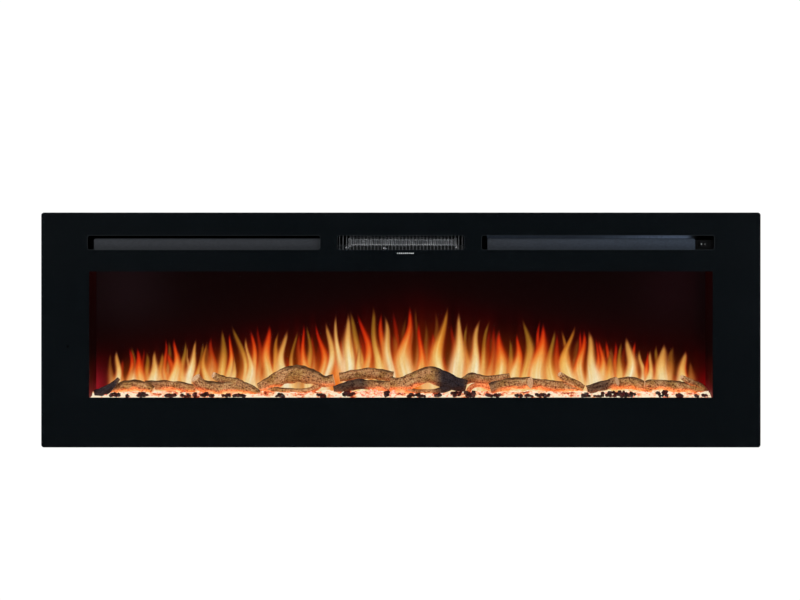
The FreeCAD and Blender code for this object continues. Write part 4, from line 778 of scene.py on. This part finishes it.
def make_chips():
    """Charred lumps in heaps, small lit chips all along and a heap of larger ones left of the middle."""
    char = Lumps(5)
    for middle, wide, tall in CHAR_HEAPS:
        for k in range(3 + wide * tall // 34):
            size = min(char.chance.uniform(8, 12.5), tall + 2)
            x = min(middle + wide / 2 * char.chance.uniform(-1, 1), CHIP_REACH - 2)
            up = CHAR_FOOT + max(tall - size / 2, 1) * char.chance.uniform(0, 1)
            char.add(x, char.chance.uniform(137, 141), up, size)
    char.piece("char_lumps", finish["char_chips"])
    lit = Lumps(6)
    for k in range(LIT_COUNT):
        size = lit.chance.uniform(3, 6)
        x = CHIP_REACH * (2 * (k + lit.chance.uniform(0, 1)) / LIT_COUNT - 1)
        fwd = lit.chance.uniform(118, 142)
        lit.add(x, fwd, bed_up(x, fwd) + size * 0.2, size)
    for k in range(LIT_HEAP_COUNT):
        size = lit.chance.uniform(5, 9)
        x, fwd = lit.chance.uniform(-86, -12), lit.chance.uniform(116, 140)
        lit.add(x, fwd, bed_up(x, fwd) + size * lit.chance.uniform(0.1, 0.7), size)
    lit.piece("lit_chips", finish["ember_chips"])


# ---- The logs ----

# Each limb is a line of stations: x, fwd, up and radius. The first limb of a log is its trunk.
LOGS = {
    "log_01": [[(-653, 124, 113, 8), (-633, 124, 118, 9.5), (-616, 123, 131, 6.5), (-602, 121, 145, 3.5)]],
    "log_02": [[
        (-645, 104, 118, 6), (-614, 104, 122, 11), (-579, 104, 128.5, 12), (-549, 106, 126, 11),
        (-531, 108, 118.5, 8),
    ]],
    "log_03": [[(-552, 84, 131, 8), (-509, 86, 128, 10.5), (-471, 93, 124.5, 11), (-439, 99, 120.5, 9)]],
    "log_04": [
        [
            (-440, 114, 146, 11), (-425, 114, 129, 13), (-397, 114, 122.5, 15), (-361, 114, 124, 15.5),
            (-328, 116, 121.5, 13), (-302, 119, 112.5, 6),
        ],
        [(-402, 108, 152, 6.5), (-384, 110, 142, 8.5), (-355, 113, 134, 11.5), (-334, 115, 125, 10.5)],
    ],
    "log_05": [
        [
            (-305, 100, 123, 10.5), (-277, 100, 136, 14.5), (-247, 100, 150, 17), (-216, 100, 153, 18),
            (-187, 100, 145.5, 15), (-163, 101, 137.5, 12), (-144, 102, 141, 11.5),
        ],
        [
            (-297, 101, 124, 9), (-266, 104, 117.5, 8), (-225, 105, 116, 6.5), (-195, 104, 118, 7),
            (-175, 102, 131, 8),
        ],
    ],
    "log_06": [[(-132, 88, 146, 10), (-99, 88, 151, 11), (-62, 88, 154, 11.5), (-17, 88, 146, 11.5)]],
    "log_07": [[
        (-144, 112, 122, 6.5), (-119, 112, 127, 10), (-94, 112, 132.5, 11.5), (-75, 112, 132, 10),
        (-49, 112, 129, 10.5), (-21, 112, 127, 12),
    ]],
    "log_08": [
        [
            (-23, 112, 132, 16.5), (6, 112, 131, 16), (32, 112, 144, 16), (62, 112, 152.5, 16.5),
            (90, 112, 144, 17), (116, 112, 134, 15), (140, 112, 128, 12),
        ],
        [
            (0, 114, 128, 10), (24, 115, 117.5, 6.5), (61, 115, 115.5, 5.5), (93, 114, 121, 7),
            (109, 113, 131, 10),
        ],
    ],
    "log_09": [
        [(133, 88, 136, 9), (151, 88, 144, 11), (181, 88, 140, 9), (214, 88, 143.5, 8), (235, 88, 149, 5.5)],
        [
            (143, 118, 112, 5), (147, 118, 122, 5.5), (156, 117, 129, 5), (172, 116, 130, 5),
            (190, 114, 124, 6),
        ],
    ],
    "log_10": [[(191, 114, 122, 12), (212, 114, 128, 13), (238, 114, 133, 12.5), (277, 114, 136, 12)]],
    "log_11": [
        [(275, 92, 133, 11.5), (317, 92, 128.5, 12), (347, 93, 125, 12), (392, 98, 119.5, 9.5)],
        [(341, 100, 153, 5), (354, 100, 142.5, 7.5), (372, 99, 133, 9.5), (391, 99, 121, 10)],
    ],
    "log_12": [[(398, 114, 120.5, 9.5), (426, 114, 127.5, 10.5), (463, 113, 139, 9)]],
    "log_13": [[
        (452, 90, 128, 9.5), (477, 90, 133, 12.5), (502, 92, 133, 13), (527, 96, 123.5, 11.5),
        (541, 98, 120, 7.5),
    ]],
    "log_14": [
        [
            (522, 114, 133, 6.5), (538, 113.5, 132.5, 10), (576, 111, 128.5, 11.5), (620, 110, 122.5, 11.5),
            (654, 108, 116.5, 7.5),
        ],
        [(601, 114, 148, 4.5), (617, 113, 138, 6.8), (641, 111, 125.5, 8), (654, 109, 116, 5.5)],
    ],
}

# Charred stretches of logs: log, from x, to x, how black.
CHARRED = (
    ("log_01", -660, -600, 0.95),
    ("log_03", -552, -520, 0.35),
    ("log_07", -150, -72, 0.8),
    ("log_08", 78, 142, 0.95),
    ("log_09", 128, 160, 0.35),
    ("log_10", 186, 205, 0.45),
    ("log_12", 395, 446, 0.75),
)
# Sawn ends cut aslant so that they face the room: log, limb, end (0 first, 1 last), slant.
SLANTED = {
    ("log_04", 0, 0): 0.45,
    ("log_04", 1, 0): 0.7,
    ("log_10", 0, 1): 0.6,
    ("log_11", 1, 0): 0.5,
    ("log_12", 0, 1): 0.6,
    ("log_14", 1, 0): 0.5,
}
# Limbs that glow all over: log, limb, how strongly.
GLOWING = {("log_09", 1): 0.56}
AROUND = 30
STEP = 2.2


def smooth_line(stations):
    """Stations joined by a Catmull-Rom curve, with a point every couple of millimetres."""
    points = np.array(stations, float)
    ends = np.vstack([2 * points[0] - points[1], points, 2 * points[-1] - points[-2]])
    line = []
    for a, b, c, d in zip(ends, ends[1:], ends[2:], ends[3:]):
        count = max(2, round(np.linalg.norm(c[:3] - b[:3]) / STEP))
        t = np.linspace(0, 1, count, endpoint=False)[:, None]
        square, cube = 2 * a - 5 * b + 4 * c - d, 3 * b - a - 3 * c + d
        line.append(0.5 * (2 * b + (c - a) * t + square * t**2 + cube * t**3))
    return np.vstack(line + [points[-1:]])


def limb(stations, seed, slants):
    """Points, faces and bark attributes of one limb, with ridged bark and flat sawn ends."""
    line = smooth_line(stations)
    along = np.concatenate([[0], np.cumsum(np.linalg.norm(np.diff(line[:, :3], axis=0), axis=1))])
    way = np.gradient(line[:, :3], axis=0)
    way /= np.linalg.norm(way, axis=1)[:, None]
    side = np.cross(way, (0, 0, 1.0))
    side /= np.linalg.norm(side, axis=1)[:, None]
    over = np.cross(side, way)
    points, run, cut, lean = [], [], [], []
    for k, (centre, distance) in enumerate(zip(line, along)):
        for step in range(AROUND):
            angle = 2 * math.pi * step / AROUND
            radius = centre[3]
            wrap = (math.cos(angle) * radius, math.sin(angle) * radius)
            knobs = noise.noise(Vector((distance / 17, wrap[0] / 13, wrap[1] / 13 + seed)))
            fibre = noise.noise(Vector((distance / 9, wrap[0] / 2.6, wrap[1] / 2.6 + 7 * seed)))
            flutes = math.sin(5 * angle + distance / 23 + seed) * 0.035
            swollen = radius * (1 + 0.17 * knobs + 0.1 * fibre + flutes)
            out = math.cos(angle) * side[k] + math.sin(angle) * over[k]
            near_start = slants[0] * math.exp(-distance / radius)
            near_end = slants[1] * math.exp((distance - along[-1]) / radius)
            shift = out[1] * (near_end - near_start)
            points.append(centre[:3] + out * swollen - way[k] * shift * swollen)
            run.append((distance / 4000 + seed, wrap[0] / 1000, wrap[1] / 1000))
            cut.append(0.0)
            lean.append(float(out[2]))
    faces = []
    for k in range(len(line) - 1):
        for step in range(AROUND):
            after = (step + 1) % AROUND
            here, there = k * AROUND, (k + 1) * AROUND
            faces.append((here + step, there + step, there + after, here + after))
    for ring, outward in ((0, -1), (len(line) - 1, 1)):
        add_sawn_end(points, faces, run, cut, ring * AROUND, line[ring, :3], outward)
    lean += [0.0] * (len(points) - len(lean))
    return np.array(points), faces, np.array(run), np.array(cut), np.array(lean)


def add_sawn_end(points, faces, run, cut, first, centre, outward):
    """A flat end with its own rim, so that the sawn face keeps a crisp edge."""
    rim = len(points)
    for share in (0.97, 0.5):
        for step in range(AROUND):
            points.append(centre + (points[first + step] - centre) * share)
            run.append((share, step / AROUND / 100, 0))
            cut.append(1.0)
    points.append(np.array(centre))
    run.append((0, 0, 0))
    cut.append(1.0)
    for step in range(AROUND):
        after = (step + 1) % AROUND
        quads = [
            (first + step, first + after, rim + after, rim + step),
            (rim + step, rim + after, rim + AROUND + after, rim + AROUND + step),
            (rim + AROUND + step, rim + AROUND + after, len(points) - 1),
        ]
        faces.extend(quad if outward < 0 else quad[::-1] for quad in quads)


def char_along(name, x):
    """How black a log is along its length."""
    black = np.zeros(len(x))
    for log, start, end, depth in CHARRED:
        if log == name:
            within = smooth(start - 18, start + 12, x) * (1 - smooth(end - 12, end + 18, x))
            black = np.maximum(black, depth * within)
    return black


def make_log(name, limbs, seed):
    """One log with its branches, standing in for the CAD node of that name."""
    points, faces, run, cut, lean, glow = [], [], [], [], [], []
    first = 0
    for k, stations in enumerate(limbs):
        slants = [SLANTED.get((name, k, end), 0) for end in (0, 1)]
        limb_points, limb_faces, limb_run, limb_cut, limb_lean = limb(stations, seed + k * 31, slants)
        points.append(limb_points)
        run.append(limb_run)
        cut.append(limb_cut)
        lean.append(limb_lean)
        glow += [GLOWING.get((name, k), 0.0)] * len(limb_points)
        faces += [tuple(first + corner for corner in face) for face in limb_faces]
        first += len(limb_points)
    points = np.vstack(points)
    patches = soft_noise(points[:, 0], points[:, 2], 15, 9, seed)
    lean = np.concatenate(lean)
    # Masks of painted light: an ember glow on low, downward-facing bark.
    low = 1 - smooth(108, 146 + 16 * (patches - 0.5), points[:, 2])
    char = char_along(name, points[:, 0])
    ember = low * smooth(0.5, -0.8, lean) * (0.5 + 0.85 * patches) * (1 - 0.8 * char)
    ember = np.maximum(ember, glow)
    # Painted shade on upward-facing bark.
    crown = smooth(0.6, 1.0, lean + 0.3 * (patches - 0.5))
    log = new_piece(
        name + "_bark", points, faces, finish["bark"],
        run=np.vstack(run), cut=np.concatenate(cut), char=char, ember=ember, crown=crown,
    )
    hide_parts(name)


# ---- Small marks ----


def slab(corners, depth_way):
    """Points and faces of a thin slab: its outline pushed back along a direction."""
    front = [Vector(c) for c in corners]
    back = [c - Vector(depth_way) for c in front]
    count = len(front)
    faces = [tuple(range(count)), tuple(range(2 * count - 1, count - 1, -1))]
    faces += [((k + 1) % count, k, k + count, (k + 1) % count + count) for k in range(count)]
    return front + back, faces


def rounded_outline(x, up, wide, tall, radius=None, count=16):
    """A round-cornered outline about a middle point, as x and up pairs. Its ends are round by default."""
    radius = radius or min(wide, tall) / 2
    outline = []
    for k in range(count):
        angle = math.pi * 2 * (k + 0.5) / count
        dx = math.copysign(max(wide / 2 - radius, 0), math.cos(angle))
        du = math.copysign(max(tall / 2 - radius, 0), math.sin(angle))
        outline.append((x + dx + radius * math.cos(angle), up + du + radius * math.sin(angle)))
    return outline


def make_marks(name, outlines, depth, body):
    """Slabs of white enamel on a body, whose front outlines are pushed back by a depth."""
    points, faces = [], []
    for outline in outlines:
        slab_points, slab_faces = slab(outline, (0, depth, 0))
        faces += [tuple(len(points) + corner for corner in face) for face in slab_faces]
        points += slab_points
    new_piece(name, points, faces, finish["white_mark"], body=body, smooth_shading=False)


# The row of dashes: its first middle, pitch, height above the glass's lower edge, and number.
DASHES_FROM = -7
DASH_PITCH = 4.1
DASH_UP = 411.4
DASH_COUNT = 9
ENAMEL = 0.06


def make_glass_marks():
    """A row of small plain white dashes on the glass, under the heater's slot."""
    _, (_, face), _ = span("front_glass")
    outlines = []
    for k in range(DASH_COUNT):
        wide = 2.9 if k % 3 else 2.2
        outline = rounded_outline(DASHES_FROM + DASH_PITCH * k, DASH_UP, wide, 2.6)
        outlines.append([(x, face + ENAMEL, up) for x, up in outline])
    make_marks("glass_marks", outlines, ENAMEL, "housing")


# How far the rocker's face stands from its hinge, and its marks from the middle.
ROCKER_FACE = 5.6
MARK_OUT = 4


def make_rocker_marks():
    """A filled dot and a short bar, one on each half of the rocker."""
    hinge = next(joint for joint in frame["record"]["behaviour"]["joints"] if joint["child"] == "rocker")
    pivot_x, pivot_fwd = hinge["pos_m"][0] * 1000, -hinge["pos_m"][1] * 1000
    pivot_up = (hinge["pos_m"][2] - GLASS_LOW) * 1000
    tilt = math.radians((hinge["range_deg"][1] - hinge["range_deg"][0]) / 2)
    outlines = []
    for side, wide, tall in ((-1, 2.0, 2.0), (1, 0.7, 2.2)):
        outline = []
        for across, up in rounded_outline(side * MARK_OUT, 0, wide, tall):
            out = ROCKER_FACE + abs(across) * math.tan(tilt) + 0.05
            x = pivot_x + across * math.cos(tilt) + out * math.sin(tilt)
            fwd = pivot_fwd + out * math.cos(tilt) - across * math.sin(tilt)
            outline.append((x, fwd, pivot_up + up))
        outlines.append(outline)
    make_marks("rocker_marks", outlines, 0.1, "rocker")


# Slots through the glass: middle, length, height of the lower edge, height of the slot.
SLOTS = ((-417, 492, 419, 30), (0, 268, 419, 30), (417, 492, 419, 30))
SLOT_CORNER = 5
RING_POINTS = 32


def make_slot_edges():
    """The ground edges of the slots, which catch a little light at their ends."""
    _, (_, face), _ = span("front_glass")
    points, faces, shine = [], [], []
    for middle, long, low, tall in SLOTS:
        first = len(points)
        for grow, out in ((0.1, 0.0), (1.0, 0.0), (1.0, 0.05), (0.1, 0.05)):
            wide, high = long + 2 * grow, tall + 2 * grow
            for x, up in rounded_outline(middle, low + tall / 2, wide, high, SLOT_CORNER + grow, RING_POINTS):
                points.append((x, face + 0.02 + out, up))
                shine.append(float(smooth(0.6, 1.0, abs(x - middle) / (long / 2))))
        for ring in range(4):
            here, there = first + ring * RING_POINTS, first + (ring + 1) % 4 * RING_POINTS
            for k in range(RING_POINTS):
                after = (k + 1) % RING_POINTS
                faces.append((here + k, here + after, there + after, there + k))
    new_piece("slot_edges", points, faces, finish["ground_edge"], smooth_shading=False, shine=shine)


# The baffle's two ends.
BAFFLE = (183, 628)


def make_slot_sheen():
    """The coated upper baffle inside the right slot, which picks up a cool sheen towards its right end."""
    columns = 90
    x = np.linspace(*BAFFLE, columns)
    _, (_, strip_front), (_, strip_top) = span("intake_panel_right")
    low, high = strip_top + 0.5, strip_top + 9
    rows = ((strip_front, low), (strip_front, high), (strip_front - 1, high), (strip_front - 1, low))
    points = [(column_x, fwd, up) for fwd, up in rows for column_x in x]
    faces = []
    for row in range(4):
        here, there = row * columns, (row + 1) % 4 * columns
        faces += [(here + k, here + k + 1, there + k + 1, there + k) for k in range(columns - 1)]
    faces.append(tuple(row * columns for row in range(4)))
    faces.append(tuple(row * columns + columns - 1 for row in (3, 2, 1, 0)))
    shine = (0.2 + 0.8 * smooth(300, 600, x) ** 2) * (1 - smooth(602, 622, x))
    shine = np.tile(shine, 4)
    new_piece("slot_baffle", points, faces, finish["cool_baffle"], smooth_shading=False, shine=shine)


# ---- The studio ----


# The camera's lens in millimetres, and its place in metres.
CAMERA_LENS = 70.19
CAMERA_SPOT = (-0.0019, -3.4523, -0.0475)


def make_camera():
    """Looks at the glass square on, from a little above its middle."""
    data = bpy.data.cameras.new("camera")
    data.lens = CAMERA_LENS
    camera = bpy.data.objects.new("camera", data)
    bpy.context.scene.collection.objects.link(camera)
    camera.location = CAMERA_SPOT
    camera.rotation_euler = (math.pi / 2, 0, 0)
    bpy.context.scene.camera = camera


def make_light(name, spot, size, power, colour):
    """A soft square lamp that faces the fireplace."""
    data = bpy.data.lights.new(name, "AREA")
    data.size = size
    data.energy = power
    data.color = colour
    lamp = bpy.data.objects.new(name, data)
    bpy.context.scene.collection.objects.link(lamp)
    lamp.location = spot
    lamp.rotation_euler = (-Vector(spot)).to_track_quat("-Z", "Y").to_euler()


def make_floor():
    """A plain pale floor well below the wall-hung fireplace."""
    half, near, far, level = 3.0, -2.6, 1.9, -1.2
    mesh = bpy.data.meshes.new("floor")
    corners = [(-half, near, level), (half, near, level), (half, far, level), (-half, far, level)]
    mesh.from_pydata(corners, [], [(0, 1, 2, 3)])
    floor_finish = Finish("floor")
    clouds = floor_finish.grain(700, 1.0)
    floor_finish.colour(floor_finish.tones(clouds, (0.2, (228, 228, 226)), (0.8, (238, 238, 237))))
    floor_finish.rough(clouds, 0.7, 0.8)
    mesh.materials.append(floor_finish.material)
    floor = bpy.data.objects.new("floor", mesh)
    bpy.context.scene.collection.objects.link(floor)


# The backdrop's strength in front and behind, and how wide a band it changes over.
ROOM_STRENGTH = 0.1
WALL_STRENGTH = 1.05
TURN_BAND = 0.35


def make_world():
    """A white backdrop behind the fireplace, and a dim room in front so that the glass stays black."""
    world = bpy.data.worlds.new("studio")
    world.use_nodes = True
    tree = world.node_tree
    way = tree.nodes.new("ShaderNodeTexCoord").outputs["Generated"]
    parts = tree.nodes.new("ShaderNodeSeparateXYZ")
    rise = tree.nodes.new("ShaderNodeMapRange")
    rise.interpolation_type = "SMOOTHSTEP"
    rise.inputs["From Min"].default_value = -TURN_BAND
    rise.inputs["From Max"].default_value = TURN_BAND
    rise.inputs["To Min"].default_value = ROOM_STRENGTH
    rise.inputs["To Max"].default_value = WALL_STRENGTH
    tree.nodes["Background"].inputs["Color"].default_value = (1, 1, 1, 1)
    tree.links.new(way, parts.inputs[0])
    tree.links.new(parts.outputs["Y"], rise.inputs["Value"])
    tree.links.new(rise.outputs["Result"], tree.nodes["Background"].inputs["Strength"])
    bpy.context.scene.world = world


def make_studio():
    """The camera, three soft lamps, the floor and the backdrop."""
    make_camera()
    make_light("key", (-2.4, -3.0, 2.2), 1.6, 130, (1.0, 0.98, 0.95))
    make_light("fill", (2.6, -2.8, 0.9), 1.8, 46, (0.88, 0.94, 1.0))
    make_light("rear", (1.4, 3.2, 1.9), 2.0, 70, (1.0, 1.0, 1.0))
    make_floor()
    make_world()
    bpy.context.scene.view_settings.view_transform = "Standard"


dress_cad_nodes()
make_flame_screen()
make_ember_bed()
make_chips()
for number, (label, limbs) in enumerate(LOGS.items()):
    make_log(label, limbs, number + 3)
make_glass_marks()
make_rocker_marks()
make_slot_edges()
make_slot_sheen()
make_studio()
